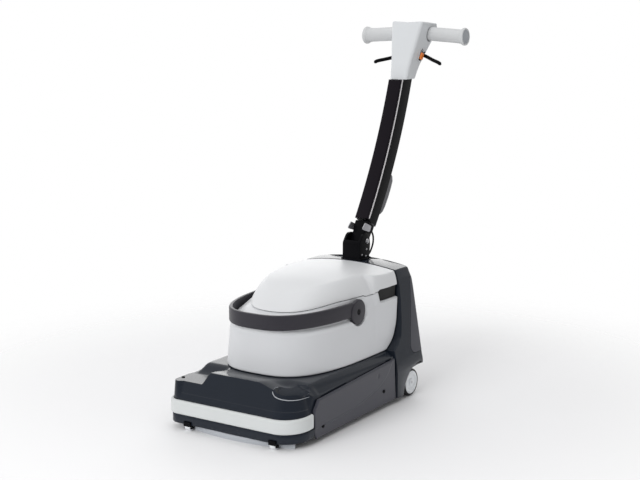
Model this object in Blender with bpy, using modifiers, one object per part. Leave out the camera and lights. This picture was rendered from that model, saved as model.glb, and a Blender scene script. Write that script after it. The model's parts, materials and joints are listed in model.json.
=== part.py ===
"""Wet dry floor scrubber: a walk-behind machine with a brush roller, a lift-off tank and a tilting handle.

Metres, +Z up. The front of the machine faces -Y and the operator stands at +Y.
Sizes are given in the machine's own frame: X = 0 on the centre plane, Y = 0 at the
front face of the bumper, Z = 0 on the floor. The empty called machine carries that
frame, and stands so that the model's origin is on the floor under its middle.
"""
import math

import bmesh
import bpy
from mathutils import Matrix, Vector

# ---------------------------------------------------------------- driving dimensions
HALF_WIDTH = 0.213          # base, across the side panels
MIDDLE_Y = 0.5165           # middle of the whole machine's length, from the bumper's face
CORNER_RADIUS = 0.075       # right front corner of the base, in plan
CORNER_LEFT = 0.036         # left front corner, which is squarer
DECK_END = 0.5215           # where the deck meets the rear housing
DECK_BOTTOM = 0.030
RIM_HEIGHT = 0.131          # top edge of the deck at the front corners
HOOD_FRONT = 0.163          # raised middle of the deck at its front edge
HOOD_REST = 0.1525          # the same hood where the tank stands on it
TOWER_TOP = 0.385
TOWER_BACK = [(0.015, 0.664), (0.070, 0.688), (0.118, 0.683), (0.150, 0.685)]     # height, Y of the rear
TOWER_BACK += [(0.261, 0.683), (0.352, 0.687), (0.385, 0.679)]
TOWER_HALF = [(0.015, 0.213), (0.100, 0.2125), (0.150, 0.202)]                    # height, half width
TOWER_HALF += [(0.261, 0.184), (0.352, 0.166), (0.385, 0.157)]
SEAT_BACK = [(0.153, 0.5195), (0.160, 0.531), (0.167, 0.543), (0.175, 0.555)]     # height, Y of the seat
SEAT_BACK += [(0.188, 0.5665), (0.216, 0.5755), (0.245, 0.5815), (0.287, 0.5905)]
SEAT_BACK += [(0.333, 0.597), (0.400, 0.597)]
GAP = 0.0003                # between pieces that touch
WALL = 0.0035               # moulded plastic

WHEEL_Y = 0.6155
WHEEL_RADIUS = 0.0400
WHEEL_OUTER = 0.2088
WHEEL_WIDTH = 0.030

BRUSH_Y = 0.215
BRUSH_Z = 0.048
BRUSH_RADIUS = 0.0475
BRUSH_HALF = 0.170
MOTOR_Y = 0.345
MOTOR_Z = 0.066
BRUSH_PULLEY_RADIUS = 0.027
MOTOR_PULLEY_RADIUS = 0.009
BELT_X = -0.186

TANK_BOTTOM = 0.1535
TANK_FRONT = 0.118
TANK_HALF = 0.176
TOWER_CROWN = 0.013         # how far the tower's top falls towards its sides
TANK_ROUND = 3.1            # exponent of the tank's rounded front
FLANK_Y = 0.470             # where the rounded front runs into straight flanks
SEAM_FRONT = 0.3135         # joint between tank and lid, at the front
SEAM_SIDE = 0.3280          # the same joint along the sides
LID_FRONT = 0.183
LID_HALF = 0.1510
LID_FLARE = 0.0165          # extra half width of the joint at the rear
LID_ROUND = 2.2
LID_ROOM = 0.0070           # room behind the lid, which lifts past the tower
BAIL_FRONT = 0.105
BAIL_HALF = 0.1655
BAIL_LOW = 0.2805
BAIL_HIGH = 0.322
BAIL_PIVOT = Vector((0.0, 0.386, 0.292))

HANDLE_PIVOT = Vector((0.0, 0.650, 0.438))
BOOM_START = Vector((0.0, 0.6925, 0.4860))
BOOM_LEAN_LOW = math.radians(33.0)
BOOM_LEAN_HIGH = math.radians(18.3)
BOOM_LENGTH = 0.4565
BOOM_HALF_X = 0.0225
BOOM_FRONT = -0.0330
BOOM_REAR = 0.0275
BOOM_SPLIT = -0.0260
GRIP_Y = 0.988
GRIP_Z = 1.040
GRIP_END = 0.178
TRIGGER_PIVOT = Vector((0.0, 0.952, 0.990))

# ---------------------------------------------------------------- scene helpers


def clear_scene():
    for item in list(bpy.data.objects):
        bpy.data.objects.remove(item, do_unlink=True)


def new_collection(name):
    collection = bpy.data.collections.new(name)
    bpy.context.scene.collection.children.link(collection)
    return collection


clear_scene()
PARTS = new_collection("floor_scrubber")
CUTTERS = new_collection("cutters")
MACHINE = bpy.data.objects.new("machine", None)
MACHINE.location = (0, -MIDDLE_Y, 0)
PARTS.objects.link(MACHINE)


def make_material(name, colour, roughness, metallic=0.0):
    material = bpy.data.materials.new(name)
    material.use_nodes = True
    shader = material.node_tree.nodes["Principled BSDF"]
    shader.inputs["Base Color"].default_value = (*colour, 1)
    shader.inputs["Roughness"].default_value = roughness
    shader.inputs["Metallic"].default_value = metallic
    return material


LOOKS = {
    "deck": make_material("deck", (0.035, 0.042, 0.052), 0.35),
    "panel": make_material("panel", (0.065, 0.066, 0.078), 0.45),
    "bumper": make_material("bumper", (0.72, 0.73, 0.72), 0.5),
    "tank": make_material("tank", (0.64, 0.65, 0.67), 0.4),
    "lid": make_material("lid", (0.70, 0.71, 0.72), 0.4),
    "bail": make_material("bail", (0.075, 0.073, 0.085), 0.5),
    "boom": make_material("boom", (0.025, 0.022, 0.027), 0.4),
    "black": make_material("black", (0.008, 0.008, 0.009), 0.5),
    "strip": make_material("strip", (0.75, 0.73, 0.74), 0.35),
    "head": make_material("head", (0.66, 0.68, 0.69), 0.45),
    "grip": make_material("grip", (0.62, 0.63, 0.63), 0.6),
    "orange": make_material("orange", (0.85, 0.28, 0.06), 0.4),
    "squeegee": make_material("squeegee", (0.42, 0.43, 0.46), 0.5),
    "tyre": make_material("tyre", (0.012, 0.012, 0.013), 0.8),
    "hub": make_material("hub", (0.60, 0.62, 0.64), 0.45),
    "steel": make_material("steel", (0.55, 0.55, 0.56), 0.35, 1.0),
    "aluminium": make_material("aluminium", (0.60, 0.60, 0.62), 0.4, 1.0),
    "bristle": make_material("bristle", (0.10, 0.22, 0.50), 0.7),
    "motor": make_material("motor", (0.20, 0.20, 0.21), 0.5),
    "rubber": make_material("rubber", (0.03, 0.03, 0.03), 0.8),
    "battery": make_material("battery", (0.05, 0.05, 0.055), 0.5),
    "filter": make_material("filter", (0.30, 0.45, 0.60), 0.5),
    "clear_tank": make_material("clear_tank", (0.55, 0.60, 0.64), 0.3),
}


def place(obj, look, pivot=None):
    """Gives a finished object its material, its parent and an origin on its joint's axis."""
    origin = Vector(pivot) if pivot is not None else Vector((0, 0, 0))
    obj.data.transform(Matrix.Translation(-origin))
    obj.location = origin
    obj.parent = MACHINE
    obj.data.materials.clear()
    obj.data.materials.append(LOOKS[look])
    obj.data.shade_smooth()
    obj.data.set_sharp_from_angle(angle=math.radians(35))
    PARTS.objects.link(obj)
    return obj


def as_cutter(obj):
    obj.parent = MACHINE
    obj.hide_render = True
    obj.display_type = "WIRE"
    CUTTERS.objects.link(obj)
    return obj


def combine(target, tool, operation="DIFFERENCE"):
    modifier = target.modifiers.new(operation.lower(), "BOOLEAN")
    modifier.operation = operation
    modifier.object = tool


def mesh_object(name, mesh_builder):
    mesh = bpy.data.meshes.new(name)
    builder = bmesh.new()
    mesh_builder(builder)
    bmesh.ops.recalc_face_normals(builder, faces=builder.faces)
    builder.to_mesh(mesh)
    builder.free()
    return bpy.data.objects.new(name, mesh)


# ---------------------------------------------------------------- shape helpers


def rounded_outline(corners, arc_steps=4, straight_steps=1):
    """Points round a closed outline whose corners are (x, y, radius)."""
    points = []
    count = len(corners)
    for index, (x, y, radius) in enumerate(corners):
        corner = Vector((x, y))
        back = (Vector(corners[index - 1][:2]) - corner).normalized()
        ahead = (Vector(corners[(index + 1) % count][:2]) - corner).normalized()
        half = back.angle(ahead) / 2
        centre = corner + (back + ahead).normalized() * (radius / math.sin(half))
        start = corner + back * (radius / math.tan(half)) - centre
        end = corner + ahead * (radius / math.tan(half)) - centre
        sweep = start.angle_signed(end)
        for step in range(arc_steps + 1):
            turn = Matrix.Rotation(-sweep * step / arc_steps, 2)
            points.append(centre + turn @ start)
    if straight_steps == 1:
        return points
    result = []
    for index, point in enumerate(points):
        result.append(point)
        if index % (arc_steps + 1) == arc_steps:
            target = points[(index + 1) % len(points)]
            for step in range(1, straight_steps):
                result.append(point.lerp(target, step / straight_steps))
    return result


def flat_ring(outline, height):
    return [Vector((point[0], point[1], height)) for point in outline]


def loft(name, rings, closed=False):
    """A closed body through rings of equal count, with end caps unless it closes on itself."""

    def build(builder):
        loops = [[builder.verts.new(point) for point in ring] for ring in rings]
        pairs = list(zip(loops, loops[1:]))
        if closed:
            pairs.append((loops[-1], loops[0]))
        else:
            builder.faces.new(loops[0])
            builder.faces.new(loops[-1])
        for first, second in pairs:
            for index in range(len(first)):
                after = (index + 1) % len(first)
                builder.faces.new((first[index], first[after], second[after], second[index]))

    return mesh_object(name, build)


def box(name, low, high, bevel=0.0, segments=2):
    low = Vector(low)
    high = Vector(high)

    def build(builder):
        bmesh.ops.create_cube(builder, size=1)
        size = high - low
        bmesh.ops.scale(builder, vec=size, verts=builder.verts)
        bmesh.ops.translate(builder, vec=(low + high) / 2, verts=builder.verts)

    obj = mesh_object(name, build)
    if bevel:
        modifier = obj.modifiers.new("rounded_edges", "BEVEL")
        modifier.width = bevel
        modifier.segments = segments
        modifier.harden_normals = False
    return obj


def cylinder(name, centre, radius, length, axis="X", sides=32):
    """A plain cylinder about an axis through centre."""
    turn = {
        "X": Matrix.Rotation(math.pi / 2, 3, "Y"),
        "Y": Matrix.Rotation(math.pi / 2, 3, "X"),
        "Z": Matrix.Identity(3),
    }[axis]

    def build(builder):
        bmesh.ops.create_cone(
            builder, cap_ends=True, segments=sides, radius1=radius, radius2=radius, depth=length
        )
        bmesh.ops.rotate(builder, matrix=turn, verts=builder.verts)
        bmesh.ops.translate(builder, vec=centre, verts=builder.verts)

    return mesh_object(name, build)


def turned(name, profile, centre, axis="X", steps=32, ring=False):
    """A Screw round the profile's (radius, along) points, outer side first and top to bottom."""
    mesh = bpy.data.meshes.new(name)
    builder = bmesh.new()
    verts = [builder.verts.new((radius, 0, along)) for radius, along in profile]
    for first, second in zip(verts, verts[1:]):
        builder.edges.new((first, second))
    if ring:
        builder.edges.new((verts[-1], verts[0]))
    builder.to_mesh(mesh)
    builder.free()
    source = bpy.data.objects.new(name + "_profile", mesh)
    bpy.context.scene.collection.objects.link(source)
    modifier = source.modifiers.new("turn", "SCREW")
    modifier.steps = steps
    modifier.render_steps = steps
    modifier.use_merge_vertices = True
    modifier.merge_threshold = 0.0001
    turn = Matrix.Rotation(math.pi / 2, 4, "Y") if axis == "X" else Matrix.Identity(4)
    solid = baked_mesh(source)
    solid.transform(Matrix.Translation(Vector(centre)) @ turn)
    bpy.data.objects.remove(source, do_unlink=True)
    return bpy.data.objects.new(name, solid)


def baked_mesh(source):
    """The evaluated mesh of an object, welded where its caps meet its sides."""
    bpy.context.view_layer.update()
    depsgraph = bpy.context.evaluated_depsgraph_get()
    mesh = bpy.data.meshes.new_from_object(source.evaluated_get(depsgraph))
    builder = bmesh.new()
    builder.from_mesh(mesh)
    bmesh.ops.remove_doubles(builder, verts=builder.verts, dist=0.00001)
    bmesh.ops.recalc_face_normals(builder, faces=builder.faces)
    builder.to_mesh(mesh)
    builder.free()
    return mesh


def curve_solid(name, curve):
    source = bpy.data.objects.new(name + "_curve", curve)
    bpy.context.scene.collection.objects.link(source)
    mesh = baked_mesh(source)
    bpy.data.objects.remove(source, do_unlink=True)
    return bpy.data.objects.new(name, mesh)


def tube(name, points, radius, resolution=2):
    """A round bar or hose of one radius along a list of points."""
    curve = bpy.data.curves.new(name, "CURVE")
    curve.dimensions = "3D"
    curve.bevel_depth = radius
    curve.bevel_resolution = resolution
    curve.use_fill_caps = True
    spline = curve.splines.new("POLY")
    spline.points.add(len(points) - 1)
    for target, point in zip(spline.points, points):
        target.co = (*point, 1)
    return curve_solid(name, curve)


def slab(name, outline, middle, thickness, plane="XY"):
    """A flat outline given a thickness; plane names the axes that the outline's points use."""
    curve = bpy.data.curves.new(name, "CURVE")
    curve.dimensions = "2D"
    curve.fill_mode = "BOTH"
    curve.extrude = thickness / 2
    spline = curve.splines.new("POLY")
    spline.points.add(len(outline) - 1)
    for target, point in zip(spline.points, outline):
        target.co = (point[0], point[1], 0, 1)
    spline.use_cyclic_u = True
    obj = curve_solid(name, curve)
    if plane == "YZ":
        obj.data.transform(Matrix(((0, 0, 1, 0), (1, 0, 0, 0), (0, 1, 0, 0), (0, 0, 0, 1))))
    obj.data.transform(Matrix.Translation(middle))
    return obj


def smooth(value):
    """A soft step from 0 to 1."""
    value = min(max(value, 0.0), 1.0)
    return value * value * (3 - 2 * value)


def along(stations, value):
    """Straight-line reading between (value, result) stations."""
    for (low, first), (high, second) in zip(stations, stations[1:]):
        if value <= high:
            return first + (second - first) * max(value - low, 0) / (high - low)
    return stations[-1][1]


def smooth_path(points, pieces=6):
    """Points on a smooth curve through a route's own points."""
    route = [Vector(point) for point in points]
    route = [route[0] * 2 - route[1]] + route + [route[-1] * 2 - route[-2]]
    result = []
    for index in range(1, len(route) - 2):
        before, start, end, after = route[index - 1 : index + 3]
        for step in range(pieces):
            t = step / pieces
            result.append(
                0.5
                * (
                    2 * start
                    + (end - before) * t
                    + (2 * before - 5 * start + 4 * end - after) * t**2
                    + (3 * start - before - 3 * end + after) * t**3
                )
            )
    result.append(route[-2])
    return result


ROLLER_X = 0.140
ROLLER_Y = 0.0104
ROLLER_RADIUS = 0.0100


# ---------------------------------------------------------------- base: deck, bumper, lip, panels


def base_plan(inset, rear, arc_steps=6, straight_steps=1):
    """Plan of the base: square at the rear, rounded at the two front corners."""
    half = HALF_WIDTH - inset
    corners = [
        (half, rear, 0.002),
        (-half, rear, 0.002),
        (-half, inset, max(CORNER_LEFT - inset, 0.010)),
        (half, inset, max(CORNER_RADIUS - inset, 0.010)),
    ]
    return rounded_outline(corners, arc_steps, straight_steps)


def rim_height(y):
    """Top edge of the deck: level across the front, low at the corners, rising to the rear."""
    side = 0.1185 + 0.045 * max(y - 0.114, 0)
    return RIM_HEIGHT + (side - RIM_HEIGHT) * smooth((y - 0.06) / 0.07)


def hood_half(y):
    """Half width of the raised middle of the deck."""
    return 0.088 + 0.102 * (1 - math.exp(-max(y - 0.033, 0) / 0.15))


def hood_height(y):
    return HOOD_FRONT + (HOOD_REST - HOOD_FRONT) * smooth((y - 0.033) / 0.085)


def hood_ring(inset, top):
    stations = [0.033, 0.050, 0.075, 0.105, 0.145, 0.20, 0.27, 0.35, 0.44, DECK_END]
    right = [(hood_half(y) - inset, max(y, 0.033 + inset)) for y in stations]
    outline = [(-x, y) for x, y in reversed(right)] + right
    heights = [hood_height(y) if top else 0.118 for x, y in outline]
    return [Vector((x, y, z)) for (x, y), z in zip(outline, heights)]


def build_deck():
    steps = 6
    bottom = flat_ring(base_plan(0.009, DECK_END, steps, 8), DECK_BOTTOM)
    waist = flat_ring(base_plan(0.009, DECK_END, steps, 8), 0.088)
    rim_plan = base_plan(0.020, DECK_END, steps, 8)
    rim = []
    for low, point in zip(waist, rim_plan):
        side = smooth((point.y - 0.05) / 0.08)
        inner = Vector((point.x, point.y)).lerp(Vector((low.x, low.y)), side * 0.9)
        rim.append(Vector((inner.x, inner.y, rim_height(point.y))))
    shelf = [
        Vector((point.x, point.y, rim_height(point.y) + 0.004))
        for point in base_plan(0.030, DECK_END, steps, 8)
    ]
    deck = loft("chassis_deck", [bottom, waist, rim, shelf])
    hood = as_cutter(loft("hood_block", [hood_ring(0.0, False), hood_ring(0.004, True)]))
    combine(deck, hood, "UNION")
    scoop_rings = []
    for depth, grow in ((0.0, 0.0), (0.010, 0.006), (0.040, 0.012)):
        outline = rounded_outline(
            [
                (0.118 - grow, 0.052 - grow, 0.016),
                (0.178 + grow, 0.034 - grow, 0.024),
                (0.192 + grow, 0.098 + grow, 0.020),
                (0.134 - grow, 0.098 + grow, 0.030),
            ],
            4,
        )
        scoop_rings.append(flat_ring(outline, 0.122 + depth))
    scoop = as_cutter(loft("scoop_cut", scoop_rings))
    combine(deck, scoop)
    cavity_low = flat_ring(base_plan(0.0135, DECK_END - 0.008, steps), 0.0)
    cavity_high = flat_ring(base_plan(0.0135, DECK_END - 0.008, steps), 0.104)
    cavity_top = flat_ring(base_plan(0.034, DECK_END - 0.008, steps), 0.1165)
    combine(deck, as_cutter(loft("deck_cavity", [cavity_low, cavity_high, cavity_top])))
    return place(deck, "deck")


def wrap_band(name, outer, thickness, low, high, end_y, bulge=0.0):
    """A strip that wraps round the front of the base and ends on both sides at end_y."""
    outer_plan = base_plan(outer, 0.40, 8)
    inner_plan = base_plan(outer + thickness, 0.40, 8)
    middle = base_plan(outer - bulge, 0.40, 8)
    crown = 0.004
    rings = [
        flat_ring(inner_plan, low),
        flat_ring(outer_plan, low),
        flat_ring(middle, low + crown),
        flat_ring(middle, high - crown),
        flat_ring(outer_plan, high),
        flat_ring(inner_plan, high),
    ]
    band = loft(name, rings, closed=True)
    trim = as_cutter(box(name + "_trim", (-0.3, end_y, -0.05), (0.3, 0.6, 0.2)))
    combine(band, trim)
    return band


def build_front():
    bumper = wrap_band("front_bumper", 0.0015, 0.0070, 0.0440, 0.0865, 0.0840, 0.0015)
    place(bumper, "bumper")
    lip = wrap_band("front_lip", 0.0040, 0.0046, 0.0150, 0.0437, 0.0840)
    for side in (-1, 1):
        low = (side * ROLLER_X - 0.0115, -0.01, 0.0)
        high = (side * ROLLER_X + 0.0115, 0.03, 0.0230)
        combine(lip, as_cutter(box(f"roller_notch_{side}", low, high)))
    place(lip, "deck")


def build_side_panels():
    """Outer covers of both sides, with three screw wells each."""
    outline = rounded_outline(
        [
            (0.0843, 0.0865, 0.004),
            (0.1000, 0.1120, 0.006),
            (0.1150, 0.1185, 0.003),
            (0.5000, 0.1358, 0.003),
            (DECK_END - 0.0005, 0.0200, 0.003),
            (0.1060, 0.0125, 0.003),
            (0.0843, 0.0150, 0.003),
        ],
        2,
    )
    for side, tag in ((-1, "left"), (1, "right")):
        middle = side * (HALF_WIDTH - 0.00435)
        panel = slab("side_panel_" + tag, outline, (middle, 0, 0), 0.0087, "YZ")
        modifier = panel.modifiers.new("rounded_edges", "BEVEL")
        modifier.width = 0.0015
        modifier.segments = 2
        modifier.limit_method = "ANGLE"
        for number, (y, z) in enumerate(((0.1364, 0.0395), (0.4165, 0.1078), (0.4517, 0.0537))):
            well = cylinder(f"panel_well_{tag}_{number}", (side * HALF_WIDTH, y, z), 0.0042, 0.010)
            combine(panel, as_cutter(well))
        place(panel, "panel")


# ---------------------------------------------------------------- rear housing and battery cover


def cradle(height):
    """The surface where tank and tower meet: it sweeps up off the deck and then leans back a little."""
    return along(SEAT_BACK, height)


def tower_front(height):
    if height < TANK_BOTTOM - 0.0004:
        return DECK_END + GAP
    return cradle(height) + 0.0035


def tower_rear(x, height):
    """Rear face, which leans forward as it rises and bows a little in plan."""
    return along(TOWER_BACK, height) + 0.005 * (1 - (x / 0.2) ** 2)


def tower_half(height):
    return along(TOWER_HALF, height)


def tower_ring(height, inset, columns=10):
    """One level of the tower: front edge left to right, then the rear edge back."""
    half = tower_half(height) - inset
    ring = []
    for index in range(columns + 1):
        x = -half + 2 * half * index / columns
        ring.append((x, tower_front(height) + inset))
    corner = 0.014
    rear_half = half - corner
    ring.append((half, tower_rear(half, height) - inset - corner))
    ring.append((half - corner * 0.29, tower_rear(half, height) - inset - corner * 0.29))
    for index in range(columns + 1):
        x = rear_half - 2 * rear_half * index / columns
        ring.append((x, tower_rear(x, height) - inset))
    ring.append((-half + corner * 0.29, tower_rear(half, height) - inset - corner * 0.29))
    ring.append((-half, tower_rear(half, height) - inset - corner))
    fall = TOWER_CROWN * smooth((height - 0.300) / 0.080)
    return [Vector((x, y, height - fall * (x / half) ** 2)) for x, y in ring]


def tower_solid(name, inset, low, high):
    levels = [low, 0.070, 0.118, TANK_BOTTOM - 0.0006, TANK_BOTTOM - 0.0003, 0.160, 0.167]
    levels += [0.175, 0.188, 0.216, 0.250, 0.300, 0.333, 0.352, 0.370]
    rings = [tower_ring(level, inset) for level in levels if low <= level < high]
    if inset == 0:
        rings.append(tower_ring(high - 0.004, 0))
        rings.append(tower_ring(high - 0.001, 0.0012))
        rings.append(tower_ring(high, 0.004))
    else:
        rings.append(tower_ring(high, inset))
    return loft(name, rings)


COVER_LOW = 0.1265
COVER_HIGH = 0.3450
COVER_FRONT_LOW = 0.6090
COVER_FRONT_HIGH = 0.6680


def cover_zone(name, shrink):
    """The block of space that the rear cover takes out of the tower."""
    outline = rounded_outline(
        [
            (COVER_FRONT_LOW + shrink, COVER_LOW + shrink, 0.022),
            (0.80, COVER_LOW + shrink, 0.002),
            (0.80, COVER_HIGH - shrink, 0.002),
            (COVER_FRONT_HIGH + shrink, COVER_HIGH - shrink, 0.010),
        ],
        4,
    )
    return as_cutter(slab(name, outline, (0, 0, 0), 0.60, "YZ"))


def build_rear_housing():
    housing = tower_solid("rear_housing", 0.0, 0.0150, TOWER_TOP)
    cavity = as_cutter(tower_solid("tower_cavity", WALL, 0.0, TOWER_TOP - 0.005))
    for side in (-1, 1):
        low = (side * 0.250 - 0.101, 0.566, -0.05)
        high = (side * 0.250 + 0.101, 0.750, 0.0885)
        combine(cavity, as_cutter(box(f"wheel_well_{side}", low, high)))
    combine(housing, cavity)
    for side in (-1, 1):
        arch = cylinder(f"wheel_arch_{side}", (side * 0.205, 0.659, 0.0), 0.079, 0.100, "X", 48)
        combine(housing, as_cutter(arch))
        low = (side * 0.18215 - 0.02715, 0.5710, -0.05)
        high = (side * 0.18215 + 0.02715, 0.7500, 0.0842)
        combine(housing, as_cutter(box(f"wheel_room_{side}", low, high)))
    axle_bore = cylinder("axle_bore", (0, WHEEL_Y, WHEEL_RADIUS), 0.0043, 0.36, "X", 20)
    combine(housing, as_cutter(axle_bore))
    combine(housing, cover_zone("cover_opening", 0.0))
    place(housing, "deck")
    cover = tower_solid("battery_cover", 0.0, 0.0150, TOWER_TOP)
    combine(cover, cover_zone("cover_outline", 0.0006), "INTERSECT")
    combine(cover, as_cutter(tower_solid("cover_cavity", 0.0030, 0.0, TOWER_TOP - 0.005)))
    place(cover, "panel")


# ---------------------------------------------------------------- wheels, rollers and squeegees


def build_wheels():
    axle = cylinder("wheel_axle", (0, WHEEL_Y, WHEEL_RADIUS), 0.0040, 0.3920, "X", 20)
    place(axle, "steel")
    half = WHEEL_WIDTH / 2
    for side, tag in ((-1, "left"), (1, "right")):
        middle = Vector((side * (WHEEL_OUTER - half), WHEEL_Y, WHEEL_RADIUS))
        tread = WHEEL_RADIUS
        seat = WHEEL_RADIUS - 0.0060
        tyre_profile = [
            (seat, half - 0.002),
            (tread - 0.003, half - 0.002),
            (tread, half - 0.005),
            (tread, -half + 0.005),
            (tread - 0.003, -half + 0.002),
            (seat, -half + 0.002),
        ]
        tyre = turned("rear_tyre_" + tag, tyre_profile, middle, steps=36, ring=True)
        place(tyre, "tyre", middle)
        face = half * 1.0
        hub_profile = [
            (0.0043, face),
            (0.0100, face),
            (0.0110, face - 0.004),
            (0.0230, face - 0.005),
            (0.0250, face - 0.001),
            (seat - GAP, face - 0.001),
            (seat - GAP, -face + 0.002),
            (0.0270, -face + 0.002),
            (0.0260, -face + 0.012),
            (0.0090, -face + 0.012),
            (0.0080, -face + 0.001),
            (0.0043, -face + 0.001),
        ]
        if side < 0:
            hub_profile = [(radius, -along) for radius, along in reversed(hub_profile)]
        hub = turned("rear_hub_" + tag, hub_profile, middle, steps=28, ring=True)
        place(hub, "hub", middle)


def bowed_strip(name, low, high, front, thickness, half, bow, forward=1):
    """An upright strip bowed in plan: its middle leads and its ends are swept back."""
    outline = []
    pieces = 12
    for offset, order in ((0.0, 1), (thickness, -1)):
        row = []
        for index in range(pieces + 1):
            x = half * (2 * index / pieces - 1)
            y = front + forward * (bow * (x / half) ** 2) + offset
            row.append((x, y))
        outline += row[::order]
    return slab(name, outline, (0, 0, (low + high) / 2), high - low)


def build_front_squeegee():
    """The bowed blade, its holder with two roller forks, and the rollers."""
    holder = bowed_strip("front_squeegee_holder", 0.0110, 0.0285, 0.0092, 0.0110, 0.182, 0.032)
    bridge = as_cutter(box("holder_bridge", (-0.165, 0.0235, 0.0155), (0.165, 0.0330, 0.0285)))
    combine(holder, bridge, "UNION")
    fork = [
        (0.0050, 0.0060),
        (0.0165, 0.0060),
        (0.0165, 0.0155),
        (0.0350, 0.0155),
        (0.0350, 0.0225),
        (0.0050, 0.0225),
    ]
    for side in (-1, 1):
        for offset in (-0.0102, 0.0102):
            middle = (side * ROLLER_X + offset, 0, 0)
            cheek = slab(f"roller_fork_{side}_{offset}", fork, middle, 0.0012, "YZ")
            combine(holder, as_cutter(cheek), "UNION")
    place(holder, "squeegee")
    blade = bowed_strip("front_squeegee_blade", 0.0, 0.0145, 0.0050, 0.0038, 0.186, 0.032)
    place(blade, "squeegee")
    for side, tag in ((-1, "left"), (1, "right")):
        centre = Vector((side * ROLLER_X, ROLLER_Y, ROLLER_RADIUS))
        profile = [
            (0.0, 0.0090),
            (ROLLER_RADIUS - 0.0015, 0.0090),
            (ROLLER_RADIUS, 0.0075),
            (ROLLER_RADIUS, -0.0075),
            (ROLLER_RADIUS - 0.0015, -0.0090),
            (0.0, -0.0090),
        ]
        roller = turned("front_roller_" + tag, profile, centre, steps=24)
        place(roller, "rubber", centre)


def build_rear_squeegee():
    holder = bowed_strip("rear_squeegee_holder", 0.0120, 0.0420, 0.4560, 0.0140, 0.176, 0.018, -1)
    place(holder, "black")
    blade = bowed_strip("rear_squeegee_blade", 0.0, 0.0280, 0.4705, 0.0035, 0.182, 0.018, -1)
    place(blade, "rubber")


# ---------------------------------------------------------------- brush deck


def build_brush():
    axis = Vector((0, BRUSH_Y, BRUSH_Z))
    core_radius = 0.0260
    journal = 0.0110
    core_profile = [
        (0.0, BRUSH_HALF + 0.0220),
        (journal, BRUSH_HALF + 0.0220),
        (journal, BRUSH_HALF),
        (core_radius, BRUSH_HALF),
        (core_radius, -BRUSH_HALF),
        (journal, -BRUSH_HALF),
        (journal, -BRUSH_HALF - 0.0220),
        (0.0, -BRUSH_HALF - 0.0220),
    ]
    place(turned("brush_core", core_profile, axis, steps=32), "motor", axis)
    build_bristles(axis, core_radius)
    bore = journal + GAP
    pulley_profile = [
        (bore, 0.0060),
        (BRUSH_PULLEY_RADIUS + 0.002, 0.0060),
        (BRUSH_PULLEY_RADIUS + 0.002, 0.0045),
        (BRUSH_PULLEY_RADIUS, 0.0045),
        (BRUSH_PULLEY_RADIUS, -0.0045),
        (BRUSH_PULLEY_RADIUS + 0.002, -0.0045),
        (BRUSH_PULLEY_RADIUS + 0.002, -0.0060),
        (bore, -0.0060),
    ]
    middle = (BELT_X, BRUSH_Y, BRUSH_Z)
    place(turned("brush_pulley", pulley_profile, middle, steps=24, ring=True), "aluminium", axis)


def build_bristles(axis, core_radius):
    """The bristle field: a sleeve with two opposed spiral grooves round it."""
    grooves = 6
    stations = 10
    around = 36
    rings = []
    for index in range(stations + 1):
        x = BRUSH_HALF * (2 * index / stations - 1)
        ring = []
        for step in range(around):
            angle = 2 * math.pi * step / around
            twist = grooves * (angle + 0.9 * abs(index / stations - 0.5) * 2)
            radius = BRUSH_RADIUS - 0.0016 * (1 - math.cos(twist))
            ring.append(Vector((x, axis.y + radius * math.cos(angle), axis.z + radius * math.sin(angle))))
        rings.append(ring)
    inner = core_radius + GAP
    for x in (BRUSH_HALF, -BRUSH_HALF):
        ring = []
        for step in range(around):
            angle = 2 * math.pi * step / around
            ring.append(Vector((x, axis.y + inner * math.cos(angle), axis.z + inner * math.sin(angle))))
        rings.append(ring)
    place(loft("brush_bristles", rings, closed=True), "bristle", axis)


def build_brush_drive():
    motor = turned(
        "brush_motor",
        [
            (0.0, 0.0600),
            (0.0240, 0.0600),
            (0.0300, 0.0540),
            (0.0300, -0.0460),
            (0.0260, -0.0500),
            (0.0120, -0.0500),
            (0.0120, -0.0600),
            (0.0040, -0.0600),
            (0.0040, -0.0620),
            (0.0, -0.0620),
        ],
        (-0.113, MOTOR_Y, MOTOR_Z),
        steps=28,
    )
    place(motor, "motor")
    axis = Vector((BELT_X, MOTOR_Y, MOTOR_Z))
    pulley = turned(
        "motor_pulley",
        [
            (0.0, 0.0060),
            (MOTOR_PULLEY_RADIUS + 0.002, 0.0060),
            (MOTOR_PULLEY_RADIUS + 0.002, 0.0045),
            (MOTOR_PULLEY_RADIUS, 0.0045),
            (MOTOR_PULLEY_RADIUS, -0.0045),
            (MOTOR_PULLEY_RADIUS + 0.002, -0.0045),
            (MOTOR_PULLEY_RADIUS + 0.002, -0.0060),
            (0.0, -0.0060),
        ],
        axis,
        steps=24,
    )
    place(pulley, "aluminium", axis)
    place(belt_loop(), "rubber")


def belt_loop():
    """An endless flat belt round both pulleys, with running clearance."""
    big = Vector((BRUSH_Y, BRUSH_Z))
    small = Vector((MOTOR_Y, MOTOR_Z))
    span = small - big
    lean = math.atan2(span.y, span.x)
    rings = []
    for thickness in (0.0004, 0.0018):
        outer = BRUSH_PULLEY_RADIUS + thickness
        inner = MOTOR_PULLEY_RADIUS + thickness
        wrap = math.acos((outer - inner) / span.length)
        outline = []
        for step in range(15):
            angle = lean + wrap + (2 * math.pi - 2 * wrap) * step / 14
            outline.append(big + outer * Vector((math.cos(angle), math.sin(angle))))
        for step in range(9):
            angle = lean - wrap + 2 * wrap * step / 8
            outline.append(small + inner * Vector((math.cos(angle), math.sin(angle))))
        rings.append(outline)
    half = 0.0040
    levels = []
    for outline, x in ((rings[0], -half), (rings[1], -half), (rings[1], half), (rings[0], half)):
        levels.append([Vector((BELT_X + x, point.x, point.y)) for point in outline])
    return loft("drive_belt", levels, closed=True)


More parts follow.
